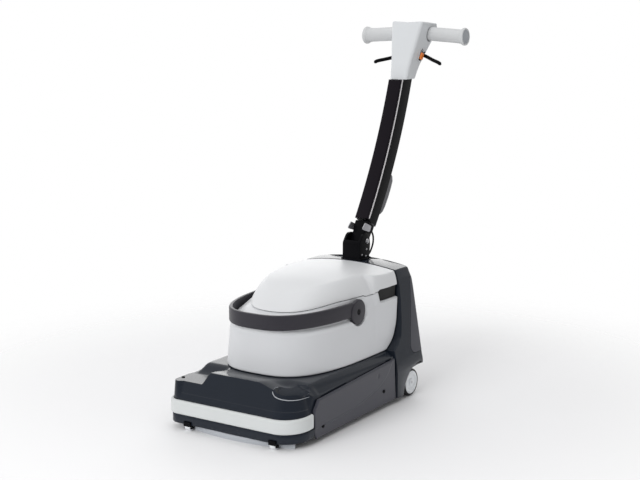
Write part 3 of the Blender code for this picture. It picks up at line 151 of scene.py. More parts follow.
LOOKS = {
    "deck": make_look("deck", (0.011, 0.015, 0.023), 0.20, level=0.30),
    "panel": make_look("panel", (0.046, 0.047, 0.060), 0.40, grain=900.0, depth=0.0001, level=0.5),
    "bumper": make_look("bumper", (0.60, 0.62, 0.62), 0.48),
    "tank": make_look("tank", (0.66, 0.67, 0.69), 0.42, grain=500.0, depth=0.0001, mottle=0.02),
    "lid": make_look("lid", (0.70, 0.71, 0.725), 0.42, grain=500.0, depth=0.0001, mottle=0.02),
    "bail": make_look("bail", (0.034, 0.032, 0.040), 0.40, grain=800.0, depth=0.0001, level=0.35),
    "boom": make_look("boom", (0.008, 0.006, 0.009), 0.26, level=0.12),
    "black": make_look("black", (0.003, 0.003, 0.004), 0.28, level=0.08),
    "strip": make_look("strip", (0.78, 0.76, 0.77), 0.35),
    "head": make_look("head", (0.68, 0.70, 0.72), 0.45, grain=900.0, depth=0.0001, mottle=0.02),
    "grip": make_look("grip", (0.62, 0.63, 0.64), 0.60, grain=1400.0, depth=0.0002),
    "orange": make_look("orange", (0.85, 0.23, 0.04), 0.38),
    # This pale grey also colours the painted highlight line along the scoop's edge.
    "squeegee": make_look("squeegee", (0.40, 0.42, 0.45), 0.50),
    "cushion": make_look("cushion", (0.15, 0.15, 0.16), 0.50),
    "tyre": make_look("tyre", (0.010, 0.010, 0.011), 0.75, grain=300.0, depth=0.0003),
    "hub": make_look("hub", (0.72, 0.74, 0.76), 0.42),
    "steel": make_look("steel", (0.56, 0.56, 0.58), 0.32, metallic=1.0, grain=260.0),
    "aluminium": make_look("aluminium", (0.52, 0.52, 0.55), 0.42, metallic=0.8, grain=420.0, depth=0.0006,
                           mottle=0.15),
    "bristle": make_look("bristle", (0.05, 0.14, 0.42), 0.60, grain=1500.0, depth=0.0002, mottle=0.2),
    "motor": make_look("motor", (0.12, 0.12, 0.13), 0.45, metallic=0.4),
    "rubber": make_look("rubber", (0.012, 0.012, 0.012), 0.70, grain=300.0, depth=0.0002),
    "battery": make_look("battery", (0.028, 0.028, 0.032), 0.5),
    "filter": make_look("filter", (0.20, 0.35, 0.52), 0.5, grain=200.0, depth=0.0006, mottle=0.2),
    "clear_tank": make_look("clear_tank", (0.50, 0.55, 0.60), 0.3),
}

# ---------------------------------------------------------------- shape helpers


def smooth(value):
    value = min(max(value, 0.0), 1.0)
    return value * value * (3 - 2 * value)


def along(stations, value):
    for (low, first), (high, second) in zip(stations, stations[1:]):
        if value <= high:
            return first + (second - first) * max(value - low, 0) / (high - low)
    return stations[-1][1]


def soft_along(stations, value, width=0.012):
    """The same reading with its corners rounded off."""
    steps = [-1.0, -0.6, -0.2, 0.2, 0.6, 1.0]
    return sum(along(stations, value + width * step) for step in steps) / len(steps)


def soft_min(values, blend):
    low = min(values)
    return low - blend * math.log(sum(math.exp(-(value - low) / blend) for value in values))


def mesh_object(name, mesh_builder):
    mesh = bpy.data.meshes.new(name)
    builder = bmesh.new()
    mesh_builder(builder)
    bmesh.ops.recalc_face_normals(builder, faces=builder.faces)
    builder.to_mesh(mesh)
    builder.free()
    return bpy.data.objects.new(name, mesh)


def loft(name, rings, closed=False):
    def build(builder):
        loops = [[builder.verts.new(point) for point in ring] for ring in rings]
        pairs = list(zip(loops, loops[1:]))
        if closed:
            pairs.append((loops[-1], loops[0]))
        else:
            builder.faces.new(loops[0])
            builder.faces.new(loops[-1])
        for first, second in pairs:
            for index in range(len(first)):
                after = (index + 1) % len(first)
                builder.faces.new((first[index], first[after], second[after], second[index]))

    return mesh_object(name, build)


def rounded_outline(corners, arc_steps=6, straight_steps=1):
    points = []
    count = len(corners)
    for index, (x, y, radius) in enumerate(corners):
        corner = Vector((x, y))
        back = (Vector(corners[index - 1][:2]) - corner).normalized()
        ahead = (Vector(corners[(index + 1) % count][:2]) - corner).normalized()
        half = back.angle(ahead) / 2
        middle = corner + (back + ahead).normalized() * (radius / math.sin(half))
        start = corner + back * (radius / math.tan(half)) - middle
        end = corner + ahead * (radius / math.tan(half)) - middle
        sweep = start.angle_signed(end)
        for step in range(arc_steps + 1):
            points.append(middle + Matrix.Rotation(-sweep * step / arc_steps, 2) @ start)
    if straight_steps == 1:
        return points
    result = []
    for index, point in enumerate(points):
        result.append(point)
        if index % (arc_steps + 1) == arc_steps:
            target = points[(index + 1) % len(points)]
            for step in range(1, straight_steps):
                result.append(point.lerp(target, step / straight_steps))
    return result


def smooth_path(points, pieces=8):
    route = [Vector(point) for point in points]
    route = [route[0] * 2 - route[1]] + route + [route[-1] * 2 - route[-2]]
    result = []
    for index in range(1, len(route) - 2):
        before, start, end, after = route[index - 1 : index + 3]
        for step in range(pieces):
            t = step / pieces
            curve = 2 * start + (end - before) * t + (2 * before - 5 * start + 4 * end - after) * t**2
            result.append(0.5 * (curve + (3 * start - before - 3 * end + after) * t**3))
    result.append(route[-2])
    return result


def extrude_yz(name, outline, low, high, rounding=0.0):
    """A flat (y, z) outline given a width along X, with rounded edges if asked."""
    middle = sum((Vector(point) for point in outline), Vector((0, 0))) / len(outline)
    stations = [(low, 0.0), (high, 0.0)]
    if rounding:
        steps = [math.radians(angle) for angle in (0, 30, 60, 90)]
        first = [(low + rounding * (1 - math.sin(a)),
                  rounding * (1 - math.cos(a))) for a in reversed(steps)]
        last = [(high - rounding * (1 - math.sin(a)), rounding * (1 - math.cos(a))) for a in steps]
        stations = first + last
    rings = []
    for x, inset in stations:
        ring = []
        for point in outline:
            offset = Vector(point) - middle
            share = 1 - inset / max(offset.length, 1e-6)
            ring.append(Vector((x, *(middle + offset * share))))
        rings.append(ring)
    return loft(name, rings)


def disc(name, middle, radius, length, axis="X", sides=48):
    turn = {"X": Matrix.Rotation(math.pi / 2, 3, "Y"), "Y": Matrix.Rotation(math.pi / 2, 3, "X")}

    def build(builder):
        bmesh.ops.create_cone(
            builder, cap_ends=True, segments=sides, radius1=radius, radius2=radius, depth=length
        )
        if axis in turn:
            bmesh.ops.rotate(builder, matrix=turn[axis], verts=builder.verts)
        bmesh.ops.translate(builder, vec=middle, verts=builder.verts)

    return mesh_object(name, build)


def block(name, low, high):
    low = Vector(low)
    high = Vector(high)

    def build(builder):
        bmesh.ops.create_cube(builder, size=1)
        bmesh.ops.scale(builder, vec=high - low, verts=builder.verts)
        bmesh.ops.translate(builder, vec=(low + high) / 2, verts=builder.verts)

    return mesh_object(name, build)


def turned(name, profile, middle, axis="X", steps=64, outward=1):
    """A ring of revolution; its profile's (radius, along) points form a closed loop."""
    rings = []
    for step in range(steps):
        angle = 2 * math.pi * step / steps
        ring = []
        for radius, length in profile:
            across = (radius * math.cos(angle), radius * math.sin(angle))
            if axis == "X":
                point = Vector((outward * length, *across))
            else:
                point = Vector((*across, length))
            ring.append(point + Vector(middle))
        rings.append(ring)
    solid = loft(name, rings, closed=True)
    builder = bmesh.new()
    builder.from_mesh(solid.data)
    bmesh.ops.remove_doubles(builder, verts=builder.verts, dist=0.00001)
    builder.to_mesh(solid.data)
    builder.free()
    return solid


def tube(name, points, radii, sides=20, flatten=1.0):
    """A round bar along a path; radii is one number or one for each point."""
    count = len(points)
    sizes = [radii] * count if isinstance(radii, float) else radii
    rings = []
    up = Vector((0, 0, 1))
    for index, point in enumerate(points):
        ahead = (points[min(index + 1, count - 1)] - points[max(index - 1, 0)]).normalized()
        side = ahead.cross(up)
        side = side.normalized() if side.length > 1e-4 else Vector((1, 0, 0))
        top = side.cross(ahead).normalized()
        ring = []
        for step in range(sides):
            angle = 2 * math.pi * step / sides
            spread = side * math.cos(angle) * flatten + top * math.sin(angle)
            ring.append(point + spread * sizes[index])
        rings.append(ring)
    return loft(name, rings)


def bake(obj, tools):
    """Applies a list of (operation, tool) Booleans to an object and replaces the object with the result."""
    scene = bpy.context.scene
    scene.collection.objects.link(obj)
    for operation, tool in tools:
        if tool.name not in scene.collection.objects:
            scene.collection.objects.link(tool)
        modifier = obj.modifiers.new(operation.lower(), "BOOLEAN")
        modifier.operation = operation
        modifier.solver = "EXACT"
        modifier.object = tool
    bpy.context.view_layer.update()
    depsgraph = bpy.context.evaluated_depsgraph_get()
    mesh = bpy.data.meshes.new_from_object(obj.evaluated_get(depsgraph))
    name = obj.name
    bpy.data.objects.remove(obj, do_unlink=True)
    result = bpy.data.objects.new(name, mesh)
    result.name = name
    return result


def drop(*tools):
    for tool in tools:
        bpy.data.objects.remove(tool, do_unlink=True)


def show(obj, look, body, *nodes, sharp=38.0):
    """Puts a finished piece in the scene, with its finish, its body and the nodes it stands for."""
    obj.data.transform(Matrix.Translation((0, FRONT, 0)))
    bpy.context.scene.collection.objects.link(obj)
    obj.data.materials.clear()
    obj.data.materials.append(LOOKS[look])
    obj.data.shade_smooth()
    obj.data.set_sharp_from_angle(angle=math.radians(sharp))
    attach(obj, body)
    if nodes:
        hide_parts(*nodes)
    return obj


# ---------------------------------------------------------------- base: deck


CORNER_LEFT = 0.036
CORNER_RIGHT = 0.075


def base_plan(inset, rear, steps=40, straight=1):
    half = BASE_HALF - inset
    left = max(CORNER_LEFT - inset, 0.010)
    right = max(CORNER_RIGHT - inset, 0.010)
    corners = [(half, rear, 0.002), (-half, rear, 0.002), (-half, inset, left), (half, inset, right)]
    return rounded_outline(corners, steps, straight)


SCOOP = [(0.1185, 0.045), (0.126, 0.0275), (0.137, 0.0225), (0.152, 0.0235), (0.170, 0.031), (0.189, 0.057)]
SCOOP += [(0.197, 0.090), (0.195, 0.110), (0.176, 0.114), (0.147, 0.110), (0.125, 0.098), (0.1165, 0.072)]
# Path of a pale bead along the scoop's upper and front edge: a painted highlight for the light caught by
# the dish's rounded edge.
SCOOP_HIGHLIGHT_LINE = [(0.1190, 0.0600, 0.1500), (0.1205, 0.0400, 0.1512), (0.1244, 0.0272, 0.1460),
             (0.1310, 0.0240, 0.1385)]
SCOOP_HIGHLIGHT_LINE += [(0.1376, 0.0233, 0.1346), (0.1526, 0.0241, 0.1315), (0.1691, 0.0314, 0.1297)]
SCOOP_HIGHLIGHT_LINE += [(0.1814, 0.0432, 0.1289), (0.1893, 0.0584, 0.1285), (0.1963, 0.0915, 0.1285)]


def depth_inside(x, y, corners):
    """Distance inside a convex outline, with its corners rounded; negative outside."""
    values = []
    for (x1, y1), (x2, y2) in zip(corners, corners[1:] + corners[:1]):
        length = math.hypot(x2 - x1, y2 - y1)
        values.append(((x2 - x1) * (y - y1) - (y2 - y1) * (x - x1)) / length)
    return soft_min(values, 0.0035)


def crease(y):
    return 0.131 - 0.0125 * smooth((y - 0.06) / 0.054) + 0.045 * max(y - 0.114, 0)


def deck_top(x, y):
    """Height of the deck's upper surface."""
    side = abs(x)
    flat = 0.1525 + 0.011 * (1 - smooth((y - 0.033) / 0.09))
    flat -= 0.012 * smooth((x - 0.07) / 0.06) * (1 - smooth((y - 0.08) / 0.05))
    edge = crease(y)
    shelf = edge + (0.1515 - edge) * (0.2055 - side) / 0.0275
    top = soft_min([flat, shelf], 0.0018)
    pocket = smooth((-x - 0.080) / 0.028) * (1 - smooth((y - 0.095) / 0.055))
    top += (min(0.130, top) - top) * pocket
    inside = depth_inside(x, y, SCOOP)
    floor = 0.1285 + 0.298 * (0.1105 - (0.775 * x - 0.631 * y))
    share = smooth(inside / 0.004)
    top += (min(floor, top) - top) * share
    width = 0.024 - 0.020 * min(max((y - 0.125) / 0.365, 0), 1)
    offset = abs(side - (0.2045 - width / 2)) / (width / 2)
    top -= 0.0030 * smooth(1.6 * (1 - offset)) * smooth((y - 0.118) / 0.02)
    return top


def deck_ring(inset):
    ring = []
    for point in base_plan(inset, DECK_END, 40, 120):
        steep = max(smooth((point.y - 0.08) / 0.035), smooth((-point.x - 0.165) / 0.035))
        slope = 3.38 + 9.0 * steep
        wall = 0.084 + (inset - 0.0086) * slope
        height = soft_min([wall, deck_top(point.x, point.y)], 0.0009)
        ring.append(Vector((point.x, point.y, height)))
    return ring


def flat_level(inset, height, steps=40, straight=120):
    return [Vector((p.x, p.y, height)) for p in base_plan(inset, DECK_END, steps, straight)]


def build_deck():
    insets = [0.0086 + 0.0012 * step for step in range(24)]
    insets += [insets[-1] + 0.0022 * step for step in range(1, 50)]
    insets += [0.165, 0.190]
    rings = [flat_level(0.0128, DECK_LOW + 0.07), flat_level(0.0128, DECK_LOW),
             flat_level(0.0090, DECK_LOW)]
    rings += [flat_level(0.0090, 0.078)]
    rings += [deck_ring(inset) for inset in insets]
    rings.insert(0, flat_level(0.034, 0.1160))
    show(loft("deck_moulding", rings), "deck", "base", "chassis_deck", sharp=50)
    screws = []
    for x, y, z in ((-0.190, 0.0495, 0.1303), (0.180, 0.095, 0.1335)):
        screws.append(turned("well", [(0.0, 0.0), (0.0036, 0.0), (0.0046, 0.0012), (0.0050, 0.0),
                                      (0.0050, -0.003), (0.0, -0.003)], (x, y, z), "Z", 32))
    show(joined("deck_screws", screws), "black", "base")
    # A thin pale tube along that path, thickest in the middle and in the pale squeegee grey: a painted
    # highlight on the scoop's edge.
    route = smooth_path(SCOOP_HIGHLIGHT_LINE, 8)
    last = len(route) - 1
    sizes = [0.0003 + 0.0009 * math.sin(math.pi * index / last) ** 0.5 for index in range(last + 1)]
    show(tube("scoop_painted_highlight", route, sizes, 12), "squeegee", "base")


def joined(name, parts):
    """Several bodies as one piece."""
    builder = bmesh.new()
    for part in parts:
        builder.from_mesh(part.data)
        bpy.data.objects.remove(part, do_unlink=True)
    mesh = bpy.data.meshes.new(name)
    builder.to_mesh(mesh)
    builder.free()
    return bpy.data.objects.new(name, mesh)


# ---------------------------------------------------------------- base: bumper, lip, side panels


def band_points(inset, end):
    """The base's outline from the left end round the front to the right end."""
    half = BASE_HALF - inset
    ends = []
    for side, corner in ((-1, CORNER_LEFT), (1, CORNER_RIGHT)):
        radius = max(corner - inset, 0.01)
        points = [Vector((side * half, end + (corner - end) * step / 6)) for step in range(7)]
        for step in range(1, 41):
            angle = math.pi / 2 * step / 40
            x = half - radius * (1 - math.cos(angle))
            points.append(Vector((side * x, corner - radius * math.sin(angle))))
        ends.append(points)
    left, right = ends
    front = [left[-1].lerp(right[-1], step / 30) for step in range(1, 30)]
    return left + front + right[::-1]


def wrap(name, section, end, lift=0.0):
    """A closed section of (inset, height) points carried round the front of the base."""
    rows = [band_points(inset, end) for inset, height in section]
    count = len(rows[0])
    rings = []
    for index in range(count):
        ring = []
        for (inset, height), row in zip(section, rows):
            point = row[index]
            rise = lift * max(point.y, 0) / end
            ring.append(Vector((point.x, point.y, height + rise)))
        rings.append(ring)
    return loft(name, rings)


def bumper_section():
    section = []
    low, high, thick = 0.0412, 0.0803, 0.0070
    for angle in range(0, 91, 15):
        a = math.radians(angle)
        section.append((0.0045 * (1 - math.sin(a)), low + 0.0060 * (1 - math.cos(a))))
    for share in (0.25, 0.5, 0.75):
        section.append((-0.0000, low + 0.006 + (high - low - 0.012) * share))
    for angle in range(90, -1, -15):
        a = math.radians(angle)
        section.append((0.0045 * (1 - math.sin(a)), high - 0.0060 * (1 - math.cos(a))))
    section.append((thick, high))
    section.append((thick, low))
    return section


def build_front():
    show(wrap("bumper", bumper_section(), 0.0860, 0.0050), "bumper", "base", "front_bumper")
    section = [(0.0068, 0.0150), (0.0048, 0.0156), (0.0040, 0.0170), (0.0040, 0.0395), (0.0046, 0.0405),
               (0.0088, 0.0405), (0.0088, 0.0150)]
    show(wrap("front_lip_moulding", section, 0.0955, 0.0030), "deck", "base", "front_lip")
    groove = [(0.0088, 0.0395), (0.0072, 0.0395), (0.0072, 0.0415), (0.0088, 0.0415)]
    show(wrap("bumper_gasket", groove, 0.0845, 0.0030), "black", "base")


PANEL_FRONT = [(0.013, 0.106), (0.032, 0.097), (0.090, 0.092), (0.1175, 0.1135), (0.140, 0.125)]
PANEL_SWOOSH = [
    (0.080, 0.0385), (0.106, 0.040), (0.214, 0.041), (0.330, 0.049), (0.424, 0.071), (0.468, 0.093),
    (0.490, 0.120),
    (0.520, 0.160)
]
PANEL_HOLES = [(0.1364, 0.0395), (0.4165, 0.1078), (0.4517, 0.0537), (0.380, 0.0520)]


def panel_top(y):
    return 0.1180 + 0.0460 * max(y - 0.114, 0) - 0.0010


def build_panels():
    columns = 190
    rows = 64
    for side, tag in ((-1, "left"), (1, "right")):
        outer = []
        for row in range(rows + 1):
            line = []
            share = row / rows
            for column in range(columns + 1):
                span_share = column / columns
                guess = 0.013 + 0.105 * share
                first = soft_along(PANEL_FRONT, guess, 0.006)
                last = 0.5228 - (guess - 0.016) * 0.10
                y = first + (last - first) * span_share
                low = 0.0125 + 0.0015 * span_share
                z = low + (panel_top(y) - low) * share
                edge = min(share * 0.105, (1 - share) * 0.105, span_share * 0.42, (1 - span_share) * 0.42)
                roll = 0.0016 * (1 - smooth(edge / 0.0030))
                above = smooth((z - soft_along(PANEL_SWOOSH, y, 0.010)) / 0.0035)
                x = 0.2093 + 0.0028 * above - roll
                for hole_y, hole_z in PANEL_HOLES[:3]:
                    near = math.hypot(y - hole_y, z - hole_z)
                    x -= 0.0012 * (1 - smooth((near - 0.0045) / 0.004))
                line.append(Vector((side * x, y, z)))
            outer.append(line)
        panel = panel_solid("side_cover_" + tag, outer, side * 0.2048)
        show(panel, "panel", "base", "side_panel_" + tag, sharp=50)
        wells = []
        for hole_y, hole_z in PANEL_HOLES[:3]:
            profile = [(0.0, 0.2095), (0.0036, 0.2095), (0.0036, 0.2108), (0.0048, 0.2108), (0.0048, 0.206),
                       (0.0, 0.206)]
            wells.append(turned("well", profile, (0, hole_y, hole_z), "X", 32, side))
        show(joined("side_screws_" + tag, wells), "black", "base")


def panel_solid(name, lines, inner):
    """A skin of point rows closed by a flat back at one x."""

    def build(builder):
        front = [[builder.verts.new(point) for point in line] for line in lines]
        back = [[builder.verts.new((inner, point.y, point.z)) for point in line] for line in lines]
        rows = len(lines)
        columns = len(lines[0])
        for row in range(rows - 1):
            for column in range(columns - 1):
                for face in (front, back):
                    quad = (face[row][column], face[row][column + 1], face[row + 1][column + 1],
                            face[row + 1][column])
                    builder.faces.new(quad)
        border = [(0, column) for column in range(columns)]
        border += [(row, columns - 1) for row in range(1, rows)]
        border += [(rows - 1, column) for column in range(columns - 2, -1, -1)]
        border += [(row, 0) for row in range(rows - 2, 0, -1)]
        for (row, column), (row2, column2) in zip(border, border[1:] + border[:1]):
            builder.faces.new((front[row][column], front[row2][column2], back[row2][column2],
                               back[row][column]))

    return mesh_object(name, build)


# ---------------------------------------------------------------- rear housing

TOWER_BACK = [(0.015, 0.664), (0.070, 0.688), (0.118, 0.683), (0.150, 0.685), (0.261, 0.683),
              (0.352, 0.687), (0.385, 0.679)]
TOWER_HALF = [(0.015, 0.213), (0.100, 0.2125), (0.150, 0.2020), (0.261, 0.184), (0.352, 0.166),
              (0.385, 0.157)]
SEAT_BACK = [(0.153, 0.5195), (0.160, 0.531), (0.167, 0.543), (0.175, 0.555), (0.188, 0.5665),
             (0.216, 0.5755)]
SEAT_BACK += [(0.245, 0.5815), (0.287, 0.5905), (0.333, 0.597), (0.400, 0.597)]


def cradle(height):
    return soft_along(SEAT_BACK, height, 0.004)


def tower_front(height):
    if height < TANK_LOW - 0.0004:
        return DECK_END + 0.0003
    return cradle(height) + 0.0030


def tower_rear(x, height):
    return soft_along(TOWER_BACK, height, 0.010) + 0.005 * (1 - (x / 0.2) ** 2)


def tower_ring(height, inset, columns=48):
    half = soft_along(TOWER_HALF, height, 0.010) - inset
    ring = []
    nose = min(0.003, half * 0.1)
    for index in range(columns + 1):
        x = -half + 2 * half * index / columns
        ring.append((x, tower_front(height) + inset + (nose if index in (0, columns) else 0)))
    corner = 0.014
    rear = tower_rear(half, height) - inset
    for step in range(7):
        angle = math.pi / 2 * step / 6
        ring.append((half - corner * (1 - math.cos(angle)), rear - corner + corner * math.sin(angle)))
    for index in range(1, columns):
        x = (half - corner) * (1 - 2 * index / columns)
        ring.append((x, tower_rear(x, height) - inset))
    for step in range(6, -1, -1):
        angle = math.pi / 2 * step / 6
        ring.append((-half + corner * (1 - math.cos(angle)), rear - corner + corner * math.sin(angle)))
    fall = 0.013 * smooth((height - 0.300) / 0.080)
    return [Vector((x, y, height - fall * (x / half) ** 2)) for x, y in ring]


def tower_solid(name, inset, low, top):
    step = TANK_LOW
    levels = [low, 0.03, 0.045, 0.06, 0.075, 0.09, 0.105, 0.12, 0.135, step - 0.0006, step - 0.0003]
    levels += [step + 0.004 * index for index in range(1, 8)]
    levels += [0.19 + 0.010 * index for index in range(19)]
    levels = [level for level in levels if low <= level < top - 0.009]
    rings = [tower_ring(level, inset) for level in levels]
    for angle in (0, 25, 50, 70, 90):
        a = math.radians(angle)
        roll = 0.0065 if inset == 0 else 0.0
        level = top - roll * (1 - math.sin(a)) - (0.0001 * (90 - angle) if not roll else 0)
        rings.append(tower_ring(level, inset + roll * (1 - math.cos(a)) * 0.9))
    return loft(name, rings)


def cover_zone(name, shrink):
    outline = rounded_outline(
        [
            (0.6090 + shrink, 0.1245 + shrink, 0.022),
            (0.80, 0.1245 + shrink, 0.002),
            (0.80, 0.3450 - shrink, 0.002),
            (0.6680 + shrink, 0.3450 - shrink, 0.010),
        ],
        8,
    )
    return extrude_yz(name, outline, -0.3, 0.3)


def build_tower():
    cavity = tower_solid("tower_room", 0.0035, -0.02, TOWER_TOP - 0.005)
    tools = []
    for side in (-1, 1):
        arch = disc("arch", (side * 0.205, 0.659, 0.0), 0.079, 0.0990, "X", 96)
        rings = []
        for x, radius in ((0.2200, 0.119), (0.2030, 0.0789), (0.1990, 0.0700)):
            ring = []
            for step in range(96):
                angle = 2 * math.pi * step / 96
                ring.append(Vector((side * x, 0.659 + radius * math.cos(angle), radius * math.sin(angle))))
            rings.append(ring)
        near, far = sorted((side * 0.1542, side * 0.2097))
        room = block("room", (near, 0.5710, -0.06), (far, 0.7600, 0.0842))
        tools += [arch, loft("flare", rings), room]
    walls = []
    for side in (-1, 1):
        low = (0.149, 0.566, -0.05) if side > 0 else (-0.351, 0.566, -0.05)
        high = (0.351, 0.750, 0.0885) if side > 0 else (-0.149, 0.750, 0.0885)
        walls.append(block("well", low, high))
    cavity = bake(cavity, [("DIFFERENCE", wall) for wall in walls])
    zone = cover_zone("opening", 0.0)
    housing = tower_solid("tower_moulding", 0.0, TOWER_LOW, TOWER_TOP)
    housing = bake(housing, [("DIFFERENCE", tool) for tool in [cavity] + tools + [zone]])
    show(housing, "deck", "base", "rear_housing", sharp=40)
    inner = tower_solid("cover_room", 0.0030, -0.02, TOWER_TOP - 0.005)
    cover = tower_solid("rear_cover_moulding", -0.0004, TOWER_LOW, TOWER_TOP)
    shrunk = cover_zone("cover_edge", 0.0011)
    cover = bake(cover, [("INTERSECT", shrunk), ("DIFFERENCE", inner)])
    show(cover, "panel", "rear_cover", "battery_cover", sharp=40)
    drop(cavity, zone, inner, shrunk, *tools, *walls)


# ---------------------------------------------------------------- wheels, rollers, squeegees


def build_wheels():
    for side, tag in ((-1, "left"), (1, "right")):
        middle = (side * WHEEL.x, WHEEL.y, WHEEL.z)
        seat = WHEEL_RADIUS - 0.0060
        half = WHEEL_HALF
        tyre = [(seat, half - 0.0022), (seat + 0.0022, half - 0.0012)]
        tyre += [(WHEEL_RADIUS - 0.0022, half - 0.0026), (WHEEL_RADIUS - 0.0006, half - 0.0045)]
        for index in range(9):
            at_x = (half - 0.006) * (1 - index / 4)
            tyre.append((WHEEL_RADIUS - (0.0008 if index % 2 else 0.0), at_x))
        tyre += [(WHEEL_RADIUS - 0.0006, -half + 0.0045), (WHEEL_RADIUS - 0.0022, -half + 0.0026)]
        tyre += [(seat, -half + 0.0022)]
        show(turned("tyre_" + tag, tyre, middle, "X", 96, side), "tyre", "wheel_" + tag, "rear_tyre_" + tag)
        rim = seat - 0.0003
        hub = [
            (0.0043, half - 0.0004), (0.0075, half), (0.0098, half - 0.0006), (0.0108, half - 0.0030),
            (0.0112, half - 0.0048), (0.0160, half - 0.0056), (0.0215, half - 0.0050),
            (0.0240, half - 0.0030),
            (0.0252, half - 0.0008), (0.0275, half - 0.0002), (0.0300, half - 0.0008),
            (0.0310, half - 0.0020),
            (rim, half - 0.0022), (rim, -half + 0.002), (0.0270, -half + 0.002), (0.0260, -half + 0.012),
            (0.0090, -half + 0.012), (0.0080, -half + 0.001), (0.0043, -half + 0.001),
        ]
        show(turned("hub_" + tag, hub, middle, "X", 96, side), "hub", "wheel_" + tag, "rear_hub_" + tag)
        cap = [(0.0, half + 0.0008), (0.0030, half + 0.0006), (0.0042, half - 0.0002),
               (0.0042, half - 0.004),
               (0.0, half - 0.004)]
        show(turned("hub_cap_" + tag, cap, middle, "X", 40, side), "steel", "wheel_" + tag)


def bow(name, section, half, sweep, forward=1):
    """A cross-section of (y, z) points carried along a bowed line across the machine."""
    rings = []
    count = 60
    for index in range(count + 1):
        x = half * (2 * index / count - 1)
        offset = forward * sweep * (x / half) ** 2
        rings.append([Vector((x, y + offset, z)) for y, z in section])
    return loft(name, rings)


def build_squeegees():
    low, high = span("front_squeegee_blade")
    blade = [(low.y, 0.0000), (low.y + 0.0036, 0.0), (low.y + 0.0036, 0.0140), (low.y + 0.0004, 0.0145),
             (low.y - 0.0004, 0.0110), (low.y, 0.0060)]
    show(bow("front_blade", blade, high.x, 0.032), "squeegee", "base", "front_squeegee_blade")
    low, high = span("front_squeegee_holder")
    holder = [(0.0092, 0.0112), (0.0196, 0.0112), (0.0202, 0.0125), (0.0202, 0.0285), (0.0092, 0.0285),
              (0.0087, 0.0270), (0.0087, 0.0125)]
    show(bow("front_holder", holder, 0.182, 0.032), "squeegee", "base", "front_squeegee_holder")
    forks = []
    fork = rounded_outline([(0.0040, 0.0045, 0.002), (0.0165, 0.0045, 0.002), (0.0165, 0.0150, 0.001),
                            (0.0300, 0.0150, 0.001), (0.0300, 0.0240, 0.002), (0.0020, 0.0240, 0.003)], 3)
    for side, tag in ((-1, "left"), (1, "right")):
        for offset in (-0.0104, 0.0104):
            x = side * ROLLER.x + offset
            forks.append(extrude_yz("cheek", fork, x - 0.0009, x + 0.0009))
        x = side * ROLLER.x
        roof = [(-0.0006, 0.0120, 0.0004), (0.0006, 0.0116, 0.0004), (0.0030, 0.0212, 0.001),
                (0.0300, 0.0212, 0.001), (0.0300, 0.0250, 0.001), (-0.0006, 0.0250, 0.002)]
        forks.append(extrude_yz("roof", rounded_outline(roof, 2), x - 0.0112, x + 0.0112))
        forks.append(disc("pin", (x, ROLLER.y, ROLLER.z), 0.0022, 0.0250, "X", 20))
        radius = ROLLER_RADIUS
        profile = [(0.0024, 0.0086), (0.0050, 0.0086), (0.0060, 0.0076), (radius - 0.0016, 0.0076),
                   (radius - 0.0008, 0.0088), (radius - 0.0002, 0.0080), (radius, 0.0060),
                   (radius, -0.0060),
                   (radius - 0.0002, -0.0080), (radius - 0.0008, -0.0088), (radius - 0.0016, -0.0076),
                   (0.0060, -0.0076), (0.0050, -0.0086), (0.0024, -0.0086)]
        show(turned("roller_" + tag, profile, (x, ROLLER.y, ROLLER.z), "X", 48), "hub",
             "roller_" + tag, "front_roller_" + tag)
    show(joined("roller_forks", forks), "black", "base")
    low, high = span("rear_squeegee_blade")
    blade = [(high.y - 0.0035, 0.0), (high.y, 0.0), (high.y + 0.0003, 0.014), (high.y, 0.0280),
             (high.y - 0.0035, 0.0280)]
    show(bow("rear_blade", blade, high.x, 0.018, -1), "rubber", "base", "rear_squeegee_blade")
    low, high = span("rear_squeegee_holder")
    holder = [(high.y - 0.0140, 0.0125), (high.y - 0.0135, 0.0120), (high.y, 0.0120), (high.y, 0.0300),
              (high.y - 0.0020, 0.0410), (high.y - 0.0030, 0.0420), (high.y - 0.0140, 0.0420)]
    show(bow("rear_holder", holder, high.x, 0.018, -1), "black", "base", "rear_squeegee_holder")


def build_brush():
    """Two rows of spiral tufts that meet in the middle."""
    source = random.Random(7)
    core = (span("brush_core")[1].z - span("brush_core")[0].z) / 2

    def build(builder):
        for row in range(10):
            for index in range(110):
                x = BRUSH_HALF * 0.985 * (2 * (index + 0.5) / 110 - 1)
                angle = 2 * math.pi * row / 10 + 2.6 * abs(x) / BRUSH_HALF
                angle += source.uniform(-0.03, 0.03)
                out = Vector((0, math.cos(angle), math.sin(angle)))
                side = Vector((0, -out.z, out.y))
                tip = BRUSH_RADIUS - source.uniform(0.0, 0.0012)
                rings = []
                for radius, size in ((core - 0.001, 0.0011), (tip, 0.0019)):
                    middle = Vector((x, BRUSH.y, BRUSH.z)) + out * radius
                    ring = []
                    for step in range(5):
                        turn = 2 * math.pi * step / 5
                        spread = Vector((1, 0, 0)) * math.cos(turn) + side * math.sin(turn)
                        ring.append(builder.verts.new(middle + spread * size))
                    rings.append(ring)
                for step in range(5):
                    after = (step + 1) % 5
                    builder.faces.new((rings[0][step], rings[0][after], rings[1][after], rings[1][step]))
                builder.faces.new(rings[1])
                builder.faces.new(rings[0])

    show(mesh_object("bristle_tufts", build), "bristle", "brush", "brush_bristles")


# ---------------------------------------------------------------- tank, lid and carry handle

FLANK_Y = 0.470
LID_FRONT = 0.183
LID_HALF = 0.1510
NOSE = [math.cos(math.pi / 2 * step / 46) for step in range(47)]
FLANKS = [0.07, 0.14, 0.21, 0.28, 0.35, 0.42, 0.50, 0.58, 0.66, 0.74, 0.82, 0.90, 0.95]


def nose_shares(power):
    """Spacing down the rounded front: fine at the tip, even along the sides."""
    shares = [value ** (2 / power) for value in NOSE[:34]]
    last = shares[-1]
    return shares + [last * (1 - step / 22) for step in range(1, 23)]


